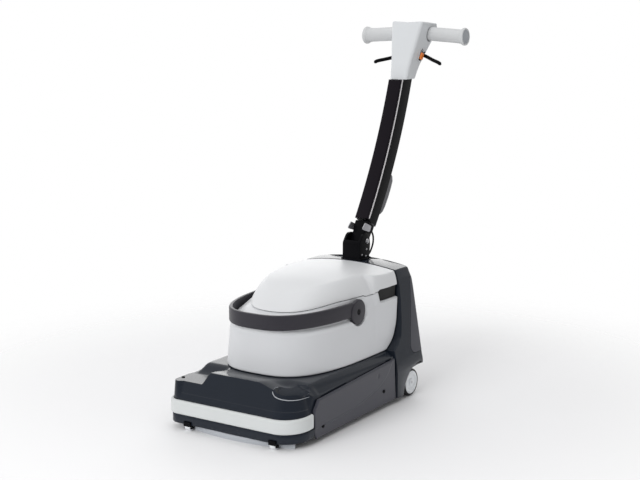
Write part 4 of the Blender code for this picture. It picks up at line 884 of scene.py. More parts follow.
def plan_ring(half, front, power, height, inset, flare):
    right = []
    for share in nose_shares(power)[1:]:
        x = half * max(1 - share**power, 0.0) ** (1 / power)
        right.append((x, FLANK_Y - (FLANK_Y - front) * share))
    corner = half + flare
    roll = 0.006
    end = cradle(height) - inset
    for share in FLANKS:
        y = FLANK_Y + (end - roll - FLANK_Y) * share
        right.append((half + flare * smooth((y - 0.41) / 0.14), y))
    for step in range(7):
        angle = math.pi / 2 * step / 6
        right.append((corner - roll * (1 - math.cos(angle)), end - roll + roll * math.sin(angle)))
    for index in range(1, 18):
        x = (corner - roll) * (1 - index / 18)
        right.append((x, end))
    left = [(-x, y) for x, y in reversed(right)]
    return [(0.0, front)] + right + [(0.0, end)] + left


def tank_ring(height, inset=0.0):
    lean = inset + 0.078 * (height - 0.158)
    flare = 0.0068 * smooth((height - 0.165) / 0.08)
    return plan_ring(0.176 - lean, TANK_FRONT + lean, 3.1, height, inset, flare)


def band(y):
    """1 on the raised band behind the carry handle's pivots."""
    return smooth((y - 0.437) / 0.006) * (1 - smooth((y - 0.474) / 0.006))


def pushed_out(x, y, amount):
    return x + math.copysign(amount * band(y), x) * (1 if abs(x) > 0.1 else 0)


def tank_level(height, inset=0.0, channel=0.0, raised=0.0):
    skin = tank_ring(height, inset)
    neck = tank_ring(height, inset + channel)
    ring = []
    for (x, y), (neck_x, neck_y) in zip(skin, neck):
        share = smooth((y - 0.412) / 0.020)
        mixed = neck_x + (x - neck_x) * share
        ring.append(Vector((pushed_out(mixed, y, raised), neck_y + (y - neck_y) * share, height)))
    return ring


def seam_height(y):
    rise = 0.3135 + 0.0145 * smooth((y - LID_FRONT) / 0.16)
    return rise - 0.0040 * smooth((y - 0.432) / 0.012) * (1 - smooth((y - 0.476) / 0.010))


def recess(x, y):
    return smooth((y - 0.497) / 0.006) * smooth((abs(x) - 0.105) / 0.025)


def tank_top(x, y):
    return seam_height(y) - 0.0013 + (0.3000 - seam_height(y)) * recess(x, y)


def lid_edge(x, y):
    return seam_height(y) + 0.0012 + (0.3330 - seam_height(y)) * recess(x, y)


def seam_plan(inset):
    return plan_ring(LID_HALF - inset, LID_FRONT + inset, 2.2, 0.3280, inset, 0.0165)


def tank_rim(inset, lower):
    ring = []
    for x, y in seam_plan(inset):
        height = tank_top(x, y) - lower
        ring.append(Vector((pushed_out(x, y, 0.0020), min(y, cradle(height) - inset), height)))
    return ring


def tank_neck(height, inset, below, raised=0.0):
    ring = tank_level(height, inset, 0.0165, raised)
    for point in ring:
        point.z = min(point.z, tank_top(point.x, point.y) - below)
    return ring


def build_tank():
    rings = [tank_level(TANK_LOW, 0.0060), tank_level(TANK_LOW + 0.0006, 0.0032),
             tank_level(TANK_LOW + 0.0020, 0.0012),
             tank_level(TANK_LOW + 0.0045, 0.0002)]
    rings += [tank_level(0.160 + 0.005 * step, 0.0, 0.0,
                         0.0012 * smooth((step - 8) / 8)) for step in range(21)]
    for angle in (15, 30, 45, 60, 75, 90):
        a = math.radians(angle)
        rings.append(tank_level(0.2610 + 0.0125 * math.sin(a), 0.0, 0.0165 * (1 - math.cos(a)), 0.0018))
    rings += [tank_neck(0.2770, 0.0, 0.0080, 0.0020), tank_neck(0.2880, 0.0, 0.0050, 0.0020),
              tank_neck(0.3000, 0.0, 0.0030, 0.0020)]
    rings += [tank_rim(0.0, 0.0012), tank_rim(0.0004, 0.0003), tank_rim(0.0012, 0.0), tank_rim(0.0050, 0.0)]
    rings += [tank_neck(0.2940, 0.0050, 0.0080), tank_level(0.2600, 0.0040, 0.0175),
              tank_level(0.1580, 0.0040)]
    tank = loft("tank_moulding", rings)
    pockets = []
    for side in (-1, 1):
        pocket = disc("pocket", (side * 0.1925, BAIL_PIVOT.y, BAIL_PIVOT.z), 0.0400, 0.0790, "X", 96)
        pockets.append(pocket)
    tank = bake(tank, [("DIFFERENCE", pocket) for pocket in pockets])
    drop(*pockets)
    show(tank, "tank", "tank", "tank_shell", sharp=45)


def lid_top(x, y):
    rise = 0.006 + 0.046 * (1 - math.exp(-max(y - LID_FRONT, 0) / 0.10))
    crown = 0.014 * smooth((y - LID_FRONT) / 0.12)
    base = 0.3135 + 0.0145 * smooth((y - LID_FRONT) / 0.16)
    dome = base + rise + crown * (1 - (x / 0.150) ** 2)
    flush = TOWER_TOP - 0.014 * (x / 0.157) ** 2
    return dome + (flush - dome) * smooth((y - 0.40) / 0.18)


def lid_ring(scale, inset, lower):
    ring = []
    for x, y in seam_plan(inset):
        behind = smooth((y - 0.53) / 0.02) * smooth((0.160 - abs(x)) / 0.01)
        reach = 0.20 - 0.135 * smooth((y - 0.462) / 0.03) - 0.025 * behind
        edge = max((scale - (1 - reach)) / reach, 0.0)
        drawn = scale + (scale - scale**2) * smooth((y - 0.52) / 0.05)
        shrunk = Vector((x * scale, FLANK_Y + (y - FLANK_Y) * drawn))
        floor = lid_edge(x, y)
        share = max(1 - edge**1.5, 0) ** 0.75
        height = floor + (lid_top(shrunk.x, shrunk.y) - floor) * share
        rear = min(shrunk.y, cradle(height) - inset)
        wide = pushed_out(shrunk.x, rear, 0.0024 * min(scale, 1.0) ** 4)
        ring.append(Vector((wide, rear, height - lower)))
    return ring


def build_lid():
    scales = [0.03, 0.10, 0.18, 0.26, 0.34, 0.42, 0.50, 0.58, 0.65, 0.71, 0.75, 0.78, 0.80, 0.815, 0.83,
              0.845]
    scales += [0.86, 0.875, 0.89, 0.905, 0.92, 0.935, 0.95, 0.963, 0.975, 0.985, 0.992, 0.9965, 0.999, 1.0]
    rings = [lid_ring(scale, 0.0, 0.0) for scale in scales]
    rings += [lid_ring(1.0, 0.0004, 0.0006), lid_ring(1.0, 0.0014, 0.0006), lid_ring(1.0, 0.0036, 0.0)]
    rings += [lid_ring(scale, 0.0036, 0.0036) for scale in (0.97, 0.94, 0.90, 0.85, 0.80, 0.60, 0.35, 0.12)]
    show(loft("lid_moulding", rings), "lid", "lid", "tank_lid", sharp=50)
    liner = []
    for inset, low in ((0.0110, True), (0.0040, True), (0.0034, False), (0.0110, False)):
        ring = []
        for x, y in seam_plan(inset):
            floor = tank_top(x, y) - (0.0006 if inset < 0.005 else 0.0050)
            top = lid_edge(x, y) + (0.0 if inset < 0.005 else -0.001)
            height = max(floor, top - 0.034) if low else top
            ring.append(Vector((x, min(y, cradle(height) - inset), height)))
        liner.append(ring)
    show(loft("seam_liner", liner, closed=True), "rubber", "lid", "lid_seal")


def bail_line(inset, cut):
    """The carry handle's plan, from its left end round the front to its right end."""
    ring = plan_ring(0.1655 - inset, BAIL_FRONT + inset, 2.75, 0.300, inset, 0.0)
    half = len(ring) // 2
    right = [(x, y) for x, y in ring[:half] if y < cut]
    left = [(-x, y) for x, y in reversed(right[1:])]
    return left + right


def build_bail():
    thick = 0.0095
    lobe = 0.0355
    low, high = 0.2805, 0.3220
    section = []
    for angle in range(0, 91, 18):
        a = math.radians(angle)
        section.append((0.0040 * (1 - math.sin(a)), low + 0.0060 * (1 - math.cos(a))))
    section += [(-0.0002, 0.2950), (-0.0002, 0.3050)]
    for angle in range(90, -1, -18):
        a = math.radians(angle)
        section.append((0.0036 * (1 - math.sin(a)), high - 0.0040 * (1 - math.cos(a))))
    section += [(thick - 0.0012, high), (thick, high - 0.0012), (thick, low + 0.0012),
                (thick - 0.0012, low)]
    rows = [bail_line(max(inset, 0.0), 0.374) for inset, height in section]
    count = min(len(row) for row in rows)
    rings = []
    for index in range(count):
        rings.append([Vector((*row[index], height)) for (inset, height), row in zip(section, rows)])
    strap = loft("carry_handle_strap", rings)
    tools = []
    for side in (-1, 1):
        steps = [math.radians(angle) for angle in (0, 30, 60, 90)]
        turns = [2 * math.pi * step / 96 for step in range(96)]
        outline = [(lobe * math.cos(turn), lobe * math.sin(turn)) for turn in turns]
        lobe_rings = []
        stations = [(0.1560, 0.0008), (0.1567, 0.0)]
        stations += [(0.1655 - 0.0022 * (1 - math.sin(a)), 0.0022 * (1 - math.cos(a))) for a in steps]
        for x, inset in stations:
            share = 1 - inset / lobe
            lobe_rings.append([
                Vector((side * x, BAIL_PIVOT.y + y * share, BAIL_PIVOT.z + z * share)) for y, z in outline
            ])
        tools.append(("UNION", loft("lobe", lobe_rings)))
    for side in (-1, 1):
        tools.append(("DIFFERENCE", disc("hook", (side * 0.160, 0.3470, 0.2772), 0.0052, 0.03, "X", 40)))
        tools.append(("DIFFERENCE", disc("bore", (side * 0.160, BAIL_PIVOT.y, BAIL_PIVOT.z), 0.0086, 0.03,
                                         "X", 48)))
    strap = bake(strap, tools)
    drop(*[tool for operation, tool in tools])
    show(strap, "bail", "bail", "carry_handle", sharp=40)
    for side, tag in ((-1, "left"), (1, "right")):
        cap = [(0.0, 0.1656), (0.0050, 0.1656), (0.0056, 0.1650), (0.0072, 0.1650), (0.0080, 0.1642),
               (0.0080, 0.1552), (0.0, 0.1552)]
        pivot_cap = turned("pivot_cap_" + tag, cap, (0, BAIL_PIVOT.y, BAIL_PIVOT.z), "X", 48, side)
        show(pivot_cap, "black", "tank", "carry_pivot_" + tag)


# ---------------------------------------------------------------- hinge, boom and cable

BOOM_START = Vector((0.0, 0.6925, 0.4860))
LEAN_LOW = math.radians(33.0)
LEAN_HIGH = math.radians(18.3)
BOOM_LENGTH = 0.4565
BOOM_X = (span("boom_front_cover")[1].x - span("boom_front_cover")[0].x) / 2
BOOM_FRONT = -0.0330
BOOM_SPLIT = -0.0260


def boom_frame(distance):
    radius = BOOM_LENGTH / (LEAN_LOW - LEAN_HIGH)
    lean = LEAN_LOW + (LEAN_HIGH - LEAN_LOW) * distance / BOOM_LENGTH
    y = BOOM_START.y + radius * (math.cos(lean) - math.cos(LEAN_LOW))
    z = BOOM_START.z + radius * (math.sin(LEAN_LOW) - math.sin(lean))
    return Vector((0, y, z)), lean


def boom_ring(distance, section):
    middle, lean = boom_frame(distance)
    back = Vector((0, math.cos(lean), -math.sin(lean)))
    return [middle + Vector((x, 0, 0)) + back * depth for x, depth in section]


def boom_rear(distance):
    share = min(max(distance / BOOM_LENGTH, 0.0), 1.0)
    return 0.0275 + 0.0085 * (1 - (1 - share) ** 2.5)


def swept(name, section, start, end, pieces=40):
    rings = []
    for index in range(pieces + 1):
        distance = start + (end - start) * index / pieces
        extra = boom_rear(distance) - 0.0275
        rings.append(boom_ring(distance, [(x, depth + (extra if depth > 0.020 else 0.0)) for x,
                                          depth in section]))
    return loft(name, rings)


def squared_off(obj):
    above = block("above", (-0.2, 0.7, 0.9047), (0.2, 1.1, 1.1))
    result = bake(obj, [("DIFFERENCE", above)])
    drop(above)
    return result


def round_section(radius, depth, sides=40):
    return [
        (radius * math.cos(2 * math.pi * step / sides),
         depth + radius * math.sin(2 * math.pi * step / sides))
        for step in range(sides)
    ]


def build_bracket():
    base = TOWER_TOP + 0.0003
    cheek = rounded_outline(
        [
            (0.609, base, 0.001), (0.664, base, 0.001), (0.671, 0.425, 0.012), (0.664, 0.462, 0.022),
            (0.630, 0.462, 0.020), (0.609, 0.436, 0.014)
        ],
        10,
    )
    half = span("handle_bracket")[1].x
    bracket = extrude_yz("hinge_bracket", cheek, -half, half, 0.0020)
    gap = block("gap", (-0.0222, 0.6145, base + 0.007), (0.0222, 0.70, 0.50))
    bore = disc("bore", (0, HINGE.y, HINGE.z), 0.0054, 0.08, "X", 40)
    bracket = bake(bracket, [("DIFFERENCE", gap), ("DIFFERENCE", bore)])
    drop(gap, bore)
    show(bracket, "black", "base", "handle_bracket")
    flange = extrude_yz("bracket_flange", rounded_outline([(0.6055, base, 0.001), (0.6690, base, 0.001),
                        (0.6670, base + 0.0045, 0.002), (0.6070, base + 0.0045, 0.002)], 4), -0.0335,
                        0.0335, 0.0015)
    show(flange, "black", "base")
    bolts = []
    for side in (-1, 1):
        head = [(0.0, 0.0352), (0.0040, 0.0352), (0.0052, 0.0346), (0.0066, 0.0328), (0.0074, 0.0322),
                (0.0078, 0.0312),
                (0.0078, 0.0303), (0.0, 0.0303)]
        bolts.append(turned("head", head, (0, HINGE.y, HINGE.z), "X", 40, side))
        for y, z in ((0.6480, 0.4140), (0.6440, 0.3935), (0.6220, 0.4000)):
            small = [(0.0, 0.0318), (0.0022, 0.0316), (0.0032, 0.0308), (0.0034, 0.0296), (0.0, 0.0296)]
            bolts.append(turned("small", small, (0, y, z), "X", 24, side))
    bolts.append(disc("shank", (0, HINGE.y, HINGE.z), 0.0050, 0.0604, "X", 32))
    show(joined("hinge_hardware", bolts), "steel", "base", "hinge_bolt")


def build_boom():
    side = BOOM_X
    depth = boom_rear(0.0)
    long = BOOM_LENGTH + 0.020
    front = rounded_outline(
        [(-side, BOOM_FRONT, 0.0045), (side, BOOM_FRONT, 0.0045), (side, BOOM_SPLIT, 0.001),
         (-side, BOOM_SPLIT, 0.001)], 8
    )
    front = squared_off(swept("boom_front", front, 0.0, long))
    show(front, "boom", "handle", "boom_front_cover")
    low = BOOM_SPLIT + 0.0003
    high = low + 0.0058
    rear = rounded_outline(
        [
            (-side + 0.0030, low, 0.0005), (side - 0.0030, low, 0.0005), (side - 0.0030, high, 0.0005),
            (side - 0.0005, high, 0.0005), (side - 0.0005, depth, 0.0040), (-side + 0.0005, depth, 0.0040),
            (-side + 0.0005, high, 0.0005), (-side + 0.0030, high, 0.0005)
        ],
        6,
    )
    show(squared_off(swept("boom_back", rear, 0.0, long)), "black", "handle", "boom_rear_channel")
    show(swept("core_tube", round_section(0.0100, 0.0085), -0.0040, 0.5150), "steel", "handle",
         "boom_core_tube")
    for sign, tag in ((-1, "left"), (1, "right")):
        inner = sign * (side - 0.0027)
        outer = sign * (side + 0.0004)
        curve = sign * (side + 0.0012)
        section = [(inner, low), (outer, low), (curve, low + 0.0014), (curve, low + 0.0042),
                   (outer, low + 0.0055),
                   (inner, low + 0.0055)]
        trim = squared_off(swept("trim_strip_" + tag, section, 0.004, long))
        show(trim, "strip", "handle", "boom_strip_" + tag)
    build_foot()
    build_back_cover()


def build_foot():
    rings = []
    profile = [
        (-0.0800, 0.0205, -0.0060, 0.0040), (-0.0785, 0.0215, -0.0100, 0.0080),
        (-0.0740, 0.0215, -0.0150, 0.0110),
        (-0.0680, 0.0215, -0.0185, 0.0130), (-0.0420, 0.0215, -0.0215, 0.0165),
        (-0.0270, 0.0215, -0.0220, 0.0170),
        (-0.0255, 0.0236, -0.0220, 0.0170), (-0.0245, 0.0240, -0.0220, 0.0170),
        (-0.0045, 0.0240, -0.0220, 0.0170)
    ]
    for distance, half, fore, aft in profile:
        section = rounded_outline([(-half, fore, 0.004), (half, fore, 0.004), (half, aft, 0.004),
                                   (-half, aft, 0.004)], 5)
        rings.append(boom_ring(distance, section))
    bore = disc("bore", (0, HINGE.y, HINGE.z), 0.0053, 0.08, "X", 40)
    foot = bake(loft("boom_knuckle", rings), [("DIFFERENCE", bore)])
    drop(bore)
    show(foot, "black", "handle", "boom_foot")
    plate = rounded_outline([(0.648, 0.493, 0.004), (0.629, 0.4755, 0.004), (0.6730, 0.4615, 0.005),
                             (0.683, 0.478, 0.004)], 5)
    for sign, tag in ((-1, "left"), (1, "right")):
        inner, outer = sorted((sign * 0.0236, sign * 0.0262))
        show(extrude_yz("side_casting_" + tag, plate, inner, outer, 0.0008), "aluminium", "handle")


def build_back_cover():
    rings = []
    for distance, half, thick in (
        (0.040, 0.0100, 0.0010), (0.042, 0.0140, 0.0070), (0.047, 0.0165, 0.0130), (0.057, 0.0190, 0.0190),
        (0.075, 0.0200, 0.0235), (0.105, 0.0205, 0.0255), (0.135, 0.0205, 0.0255), (0.158, 0.0200, 0.0240),
        (0.171, 0.0175, 0.0185), (0.177, 0.0140, 0.0105), (0.180, 0.010, 0.0010)
    ):
        low = boom_rear(distance) + 0.0004
        section = rounded_outline(
            [(-half, low, 0.0003), (half, low, 0.0003), (half, low + thick, thick * 0.45),
             (-half, low + thick, thick * 0.45)], 6
        )
        ring = []
        for x, depth in section:
            ridge = 0.0004 * math.cos(depth * 2 * math.pi / 0.0036) * smooth((thick - 0.004) / 0.004)
            ring.append((x + math.copysign(ridge, x) if depth > low + 0.001 else x, depth))
        rings.append(boom_ring(distance, ring))
    cushion = show(loft("boom_cushion", rings), "squeegee", "handle", "boom_back_cover")
    cushion.data.materials[0] = LOOKS["cushion"]


def build_cable():
    route = [
        (0.012, 0.7035, 0.4640), (0.012, 0.7085, 0.4560), (0.013, 0.7150, 0.4400), (0.014, 0.7120, 0.4200),
        (0.015, 0.6980, 0.4010), (0.016, 0.6830, 0.3905), (0.016, 0.6740, 0.3885)
    ]
    cable = tube("handle_lead", smooth_path(route, 10), 0.0026, 16)
    cable.data.transform(Matrix.Translation((0, FRONT, 0)))
    bpy.context.scene.collection.objects.link(cable)
    cable.data.materials.append(LOOKS["black"])
    cable.data.shade_smooth()
    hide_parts("handle_cable")
    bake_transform(cable)
    gland = [(0.0030, 0.3925), (0.0055, 0.3925), (0.0068, 0.3900), (0.0070, 0.3853), (0.0030, 0.3853)]
    show(turned("cable_gland", gland, (0.016, 0.6745, 0.0), "Z", 32), "black", "base")


# ---------------------------------------------------------------- handle head

HEAD = [
    ((0.8755, 0.9050), (0.9400, 0.9050), 0.0305, 0.0280),
    ((0.8900, 0.9550), (0.9590, 0.9450), 0.0350, 0.0340),
    ((0.9070, 1.0100), (0.9950, 0.9970), 0.0440, 0.0440),
    ((0.9210, 1.0550), (1.0320, 1.0450), 0.0515, 0.0515),
    ((0.9275, 1.0740), (1.0330, 1.0690), 0.0545, 0.0530),
]


def head_stations():
    """The head's levels with smooth levels set between them."""
    rows = [Vector((*front, *rear, first, last)[:6]) for front, rear, first, last in HEAD]
    rows = [rows[0] * 2 - rows[1]] + rows + [rows[-1] * 2 - rows[-2]]
    result = []
    for index in range(1, len(rows) - 2):
        before, start, end, after = rows[index - 1 : index + 3]
        for step in range(8):
            t = step / 8
            curve = 2 * start + (end - before) * t + (2 * before - 5 * start + 4 * end - after) * t**2
            result.append(0.5 * (curve + (3 * start - before - 3 * end + after) * t**3))
    result.append(rows[-2])
    return result


def head_ring(station, inset, radius=0.0105, drop_by=0.0):
    front_y, front_z, rear_y, rear_z, half_front, half_rear = station
    start = Vector((0, front_y, front_z))
    back = Vector((0, rear_y, rear_z)) - start
    depth = back.length
    back.normalize()
    size = max(radius - inset * 0.8, 0.002)
    outline = rounded_outline(
        [
            (-half_front + inset, inset, size), (half_front - inset, inset, size),
            (half_rear - inset, depth - inset, size), (-half_rear + inset, depth - inset, size)
        ],
        8,
        6,
    )
    up = Vector((0, -back.z, back.y))
    return [start + Vector((point.x, 0, 0)) + back * point.y - up * drop_by for point in outline]


def head_solid(name, inset):
    stations = head_stations()
    rings = [head_ring(station, inset) for station in stations]
    if inset:
        low = Vector((0, -0.0060, -0.0180))
        rings.insert(0, [point + low for point in rings[0]])
        rings[-1] = [point - Vector((0, 0, 0.0050)) for point in rings[-1]]
        return loft(name, rings)
    top = stations[-1]
    rings.pop()
    for angle in (0, 20, 40, 60, 75, 90):
        a = math.radians(angle)
        rise = 0.0045 * math.sin(a)
        ring = head_ring(top, 0.0045 * (1 - math.cos(a)), 0.0105, -rise + 0.001)
        for point in ring:
            corner = smooth((abs(point.x) - 0.020) / 0.014) * smooth((0.952 - point.y) / 0.012)
            point.z += 0.0022 * corner * math.sin(a)
        rings.append(ring)
    return loft(name, rings)


SLIDER = Vector((0.0385, 0.9450, 0.9740))
SLIDE = Vector(
    next(joint["axis"] for joint in frame["joints"] if joint["name"] == "flow_slide")
).normalized()


def build_head():
    slots = []
    for side in (-1, 1):
        low = (side * 0.048 - 0.030, 0.9570, 0.9610)
        high = (side * 0.048 + 0.030, 0.9800, 0.9860)
        slots.append(block("slot", low, high))
    socket = disc("socket", (0, GRIP.y, GRIP.z), 0.0225, 0.20, "X", 64)
    across = Vector((0, SLIDE.z, -SLIDE.y)).normalized()
    middle = SLIDER + SLIDE * 0.0060
    rings = []
    for x in (-0.012, 0.020):
        rings.append([
            middle + SLIDE * (run * 0.0180) + across * (side * 0.0030) + Vector((x, 0, 0))
            for run, side in ((-1, -1), (1, -1), (1, 1), (-1, 1))
        ])
    rail = loft("rail", rings)
    holes = [disc("hole", (x, 1.004, 1.066), 0.0086, 0.030, "Z", 48) for x in (-0.017, 0.017)]
    room = head_solid("room", 0.0030)
    tools = [room] + slots + [socket, rail] + holes
    shell = bake(head_solid("head_shells", 0.0), [("DIFFERENCE", tool) for tool in tools])
    drop(*tools)
    show(shell, "head", "handle", "head_front_shell", "head_rear_shell", sharp=36)


def build_slider():
    across = Vector((0, SLIDE.z, -SLIDE.y)).normalized()
    outward = SLIDE.cross(across).normalized()
    if outward.x < 0:
        outward = -outward
    middle = SLIDER
    rings = []
    for lift, long, wide in (
        (-0.0090, 0.0060, 0.0023), (0.0042, 0.0060, 0.0023), (0.0044, 0.0100, 0.0066),
        (0.0050, 0.0108, 0.0072),
        (0.0080, 0.0108, 0.0072), (0.0092, 0.0100, 0.0066), (0.0096, 0.0080, 0.0050)
    ):
        outline = rounded_outline([(-long, -wide, wide * 0.6), (long, -wide, wide * 0.6),
                                   (long, wide, wide * 0.6),
                                   (-long, wide, wide * 0.6)], 5)
        rings.append([middle + outward * lift + SLIDE * p.x + across * p.y for p in outline])
    show(loft("flow_slider_cap", rings), "orange", "slider", "flow_slider")
    start = middle + SLIDE * 0.0060
    for name, look, section in (
        ("slider_frame", "head", ((0.0012, 0.0036), (0.0028, 0.0036), (0.0028, 0.0050), (0.0012, 0.0058))),
        ("slider_track", "black", ((0.0010, 0.0), (0.0022, 0.0), (0.0022, 0.0034), (0.0010, 0.0034))),
    ):
        rings = []
        for lift, grow in section:
            long, wide = 0.0170 + grow, 0.0036 + grow
            outline = rounded_outline([(-long, -wide, 0.002), (long, -wide, 0.002), (long, wide, 0.002),
                                       (-long, wide, 0.002)], 5)
            rings.append([start + outward * lift + SLIDE * p.x + across * p.y for p in outline])
        show(loft(name, rings, closed=True), look, "handle")


def build_buttons():
    for node, look, body in (("power_button", "orange", "button_power"),
                             ("flow_button", "black", "button_flow")):
        low, high = span(node)
        middle = ((low.x + high.x) / 2, (low.y + high.y) / 2, 0)
        top = high.z
        profile = [(0.0, top - 0.0010), (0.0030, top - 0.0008), (0.0052, top - 0.0001), (0.0064, top),
                   (0.0073, top - 0.0006),
                   (0.0078, top - 0.0020), (0.0078, low.z), (0.0, low.z)]
        show(turned(node + "_cap", profile, middle, "Z", 48), look, body, node)


def swept_grip(obj):
    """Bends a grip: it droops towards its end and sweeps forward a little."""
    for vertex in obj.data.vertices:
        out = max(abs(vertex.co.x) - 0.045, 0.0)
        vertex.co.y += 0.004 - 0.080 * out
        vertex.co.z += 0.0012 - 0.056 * out
    return obj


def build_grips():
    half = span("handlebar")[1].x
    bar = [(0.0, half), (0.0104, half), (0.0110, half - 0.0006)]
    bar += [(0.0110, half - 0.0006 - (half - 0.0006) * step / 12) for step in range(1, 24)]
    bar += [(0.0110, -half + 0.0006), (0.0104, -half), (0.0, -half)]
    core = swept_grip(turned("grip_bar", bar, (0, GRIP.y, GRIP.z), "X", 48))
    show(core, "steel", "handle", "handlebar")
    for side, tag in ((-1, "left"), (1, "right")):
        inner = 0.0440
        outer = GRIP_END
        profile = [(0.0113, inner), (0.0200, inner), (0.0213, inner + 0.0012)]
        count = 30
        for index in range(count + 1):
            place = inner + 0.006 + (outer - 0.030 - inner - 0.006) * index / count
            profile.append((0.0215 - 0.0005 * (index % 2), place))
        profile += [(0.0216, outer - 0.0255), (0.0222, outer - 0.0180), (0.0238, outer - 0.0130),
                    (0.0260, outer - 0.0098), (0.0270, outer - 0.0070), (0.0269, outer - 0.0035),
                    (0.0258, outer - 0.0008),
                    (0.0240, outer), (0.0225, outer - 0.0004), (0.0215, outer - 0.0016),
                    (0.0, outer - 0.0018),
                    (0.0, outer - 0.006), (0.0113, outer - 0.006)]
        grip = swept_grip(turned("soft_grip_" + tag, profile, (0, GRIP.y, GRIP.z), "X", 72, side))
        show(grip, "grip", "handle", "grip_" + tag)
        pad = [(0.0, outer - 0.0010), (0.0205, outer - 0.0010), (0.0212, outer - 0.0014),
               (0.0212, outer - 0.0030),
               (0.0, outer - 0.0030)]
        badge = swept_grip(turned("grip_badge_" + tag, pad, (0, GRIP.y, GRIP.z), "X", 48, side))
        show(badge, "squeegee", "handle")


def build_levers():
    pivot = centre("trigger_shaft")
    for side, tag in ((-1, "left"), (1, "right")):
        route = smooth_path(
            [
                (side * 0.0200, 0.9580, 0.9845), (side * 0.0300, 0.9690, 0.9780),
                (side * 0.0480, 0.9690, 0.9720),
                (side * 0.0800, 0.9510, 0.9630), (side * 0.1080, 0.9360, 0.9560),
                (side * 0.1180, 0.9340, 0.9500)
            ],
            8,
        )
        count = len(route)
        sizes = [0.0056 * min(1.0, 0.45 + (count - 1 - index) * 0.18) for index in range(count)]
        lever = tube("lever_" + tag, route, sizes, 24)
        hub = disc("hub", pivot + Vector((side * 0.0200, 0, 0)), 0.0085, 0.014, "X", 40)
        bore = disc("bore", pivot + Vector((side * 0.0200, 0, 0)), 0.0033, 0.05, "X", 32)
        lever = bake(lever, [("UNION", hub), ("DIFFERENCE", bore)])
        drop(hub, bore)
        show(lever, "black", "lever_" + tag, "trigger_" + tag)


# ---------------------------------------------------------------- CAD pieces that are shown as they are

KEPT = {
    "brush_tunnel": "steel", "wheel_axle": "steel", "brush_motor": "motor", "drive_belt": "rubber",
    "debris_tray": "battery", "vacuum_motor": "motor", "water_pump": "motor", "suction_hose": "rubber",
    "battery_pack": "battery", "brush_core": "motor", "brush_pulley": "aluminium",
    "motor_pulley": "aluminium",
    "vacuum_impeller": "aluminium", "inner_tank": "clear_tank", "tank_filter": "filter",
    "trigger_shaft": "steel",
}


def dress_kept():
    for node, look in KEPT.items():
        obj = frame["nodes"][node]
        obj.data.materials.clear()
        obj.data.materials.append(LOOKS[look])
        bevel = obj.modifiers.new("soft_edges", "BEVEL")
        bevel.width = 0.0006
        bevel.segments = 2
        bevel.limit_method = "ANGLE"
        bevel.angle_limit = math.radians(40)


# ---------------------------------------------------------------- camera, floor and lights


def make_camera():
    data = bpy.data.cameras.new("view")
    data.lens = 73.69
    data.sensor_width = 36.0
    data.clip_start = 0.05
    data.clip_end = 60.0
    camera = bpy.data.objects.new("view", data)
    camera.location = world((2.014, -2.6365, 1.1426))
    camera.rotation_euler = (math.radians(90 - 10.36), 0, math.radians(33.2))
    bpy.context.scene.collection.objects.link(camera)
    bpy.context.scene.camera = camera


def area_light(name, place, target, size, power):
    data = bpy.data.lights.new(name, "AREA")
    data.shape = "RECTANGLE"
    data.size = size[0]
    data.size_y = size[1]
    data.energy = power
    light = bpy.data.objects.new(name, data)
    light.location = world(place)
    direction = Vector(target) - Vector(place)
    light.rotation_euler = direction.to_track_quat("-Z", "Y").to_euler()
    light.visible_glossy = name in ("over", "behind")
    bpy.context.scene.collection.objects.link(light)


def make_world():
    """An even studio: dim in front and on the right, bright behind and on the left."""
    studio = bpy.data.worlds.new("studio")
    studio.use_nodes = True
    nodes = studio.node_tree.nodes
    background = nodes["Background"]
    background.inputs["Color"].default_value = (1, 1, 1, 1)
    place = nodes.new("ShaderNodeTexCoord")
    toward = nodes.new("ShaderNodeVectorMath")
    toward.operation = "DOT_PRODUCT"
    toward.inputs[1].default_value = (-0.85, 0.50, 0.10)
    level = nodes.new("ShaderNodeMapRange")
    level.interpolation_type = "SMOOTHSTEP"
    level.inputs["From Min"].default_value = -0.6
    level.inputs["From Max"].default_value = 0.9
    level.inputs["To Min"].default_value = 0.36
    level.inputs["To Max"].default_value = 0.85
    tree = studio.node_tree.links
    tree.new(place.outputs["Generated"], toward.inputs[0])
    tree.new(toward.outputs["Value"], level.inputs["Value"])
    tree.new(level.outputs["Result"], background.inputs["Strength"])
    bpy.context.scene.world = studio


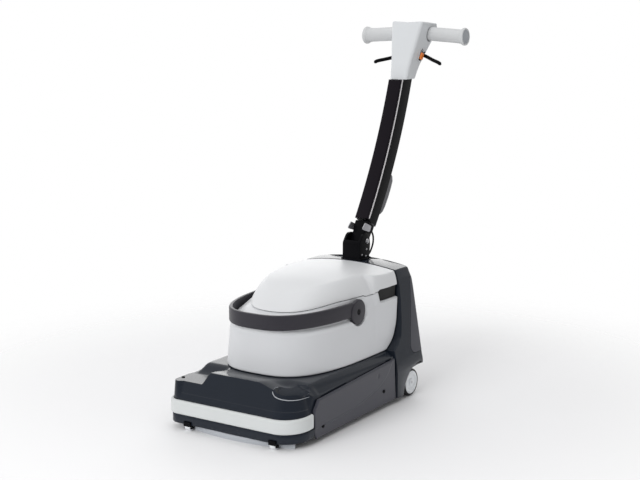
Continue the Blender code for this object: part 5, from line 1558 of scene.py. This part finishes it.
def make_stage():
    def dome_mesh(builder):
        bmesh.ops.create_uvsphere(builder, u_segments=48, v_segments=24, radius=14.0)

    dome = mesh_object("backdrop", dome_mesh)
    bpy.context.scene.collection.objects.link(dome)
    white = bpy.data.materials.new("backdrop")
    white.use_nodes = True
    glow = white.node_tree.nodes.new("ShaderNodeEmission")
    glow.inputs["Strength"].default_value = 1.0
    link(white, glow.outputs["Emission"], white.node_tree.nodes["Material Output"].inputs["Surface"])
    dome.data.materials.append(white)
    dome.visible_diffuse = False
    dome.visible_glossy = False
    dome.visible_transmission = False
    dome.visible_shadow = False

    def floor_mesh(builder):
        bmesh.ops.create_circle(builder, cap_ends=True, segments=96, radius=2.6)
        bmesh.ops.translate(builder, vec=(0, 0, -0.0004), verts=builder.verts)

    floor = mesh_object("floor", floor_mesh)
    bpy.context.scene.collection.objects.link(floor)
    pale = bpy.data.materials.new("floor")
    pale.use_nodes = True
    nodes = pale.node_tree.nodes
    shader = nodes["Principled BSDF"]
    shader.inputs["Base Color"].default_value = (0.92, 0.92, 0.93, 1)
    shader.inputs["Roughness"].default_value = 0.7
    shader.inputs["Specular IOR Level"].default_value = 0.2
    clear = nodes.new("ShaderNodeBsdfTransparent")
    fade = nodes.new("ShaderNodeMixShader")
    place = nodes.new("ShaderNodeTexCoord")
    distance = nodes.new("ShaderNodeVectorMath")
    distance.operation = "LENGTH"
    reach = nodes.new("ShaderNodeMapRange")
    reach.interpolation_type = "SMOOTHSTEP"
    reach.inputs["From Min"].default_value = 0.55
    reach.inputs["From Max"].default_value = 1.5
    link(pale, place.outputs["Object"], distance.inputs[0])
    link(pale, distance.outputs["Value"], reach.inputs["Value"])
    link(pale, reach.outputs["Result"], fade.inputs["Fac"])
    link(pale, shader.outputs["BSDF"], fade.inputs[1])
    link(pale, clear.outputs["BSDF"], fade.inputs[2])
    link(pale, fade.outputs["Shader"], nodes["Material Output"].inputs["Surface"])
    floor.data.materials.append(pale)
    area_light("key", (-0.2, -3.5, 1.7), (0, 0.35, 0.3), (2.2, 1.6), 88)
    area_light("over", (0.2, 0.6, 2.6), (0, 0.5, 0), (2.4, 2.4), 12)
    area_light("side", (2.6, 0.3, 0.25), (0.2, 0.3, 0.15), (1.6, 0.6), 10)
    area_light("behind", (-1.8, 3.2, 1.2), (0, 0.4, 0.3), (3.2, 1.8), 24)
    bpy.context.scene.view_settings.view_transform = "Standard"


make_camera()
make_world()
make_stage()
build_deck()
build_front()
build_panels()
build_tower()
build_wheels()
build_squeegees()
build_brush()
build_tank()
build_lid()
build_bail()
build_bracket()
build_boom()
build_cable()
build_head()
build_slider()
build_buttons()
build_grips()
build_levers()
dress_kept()
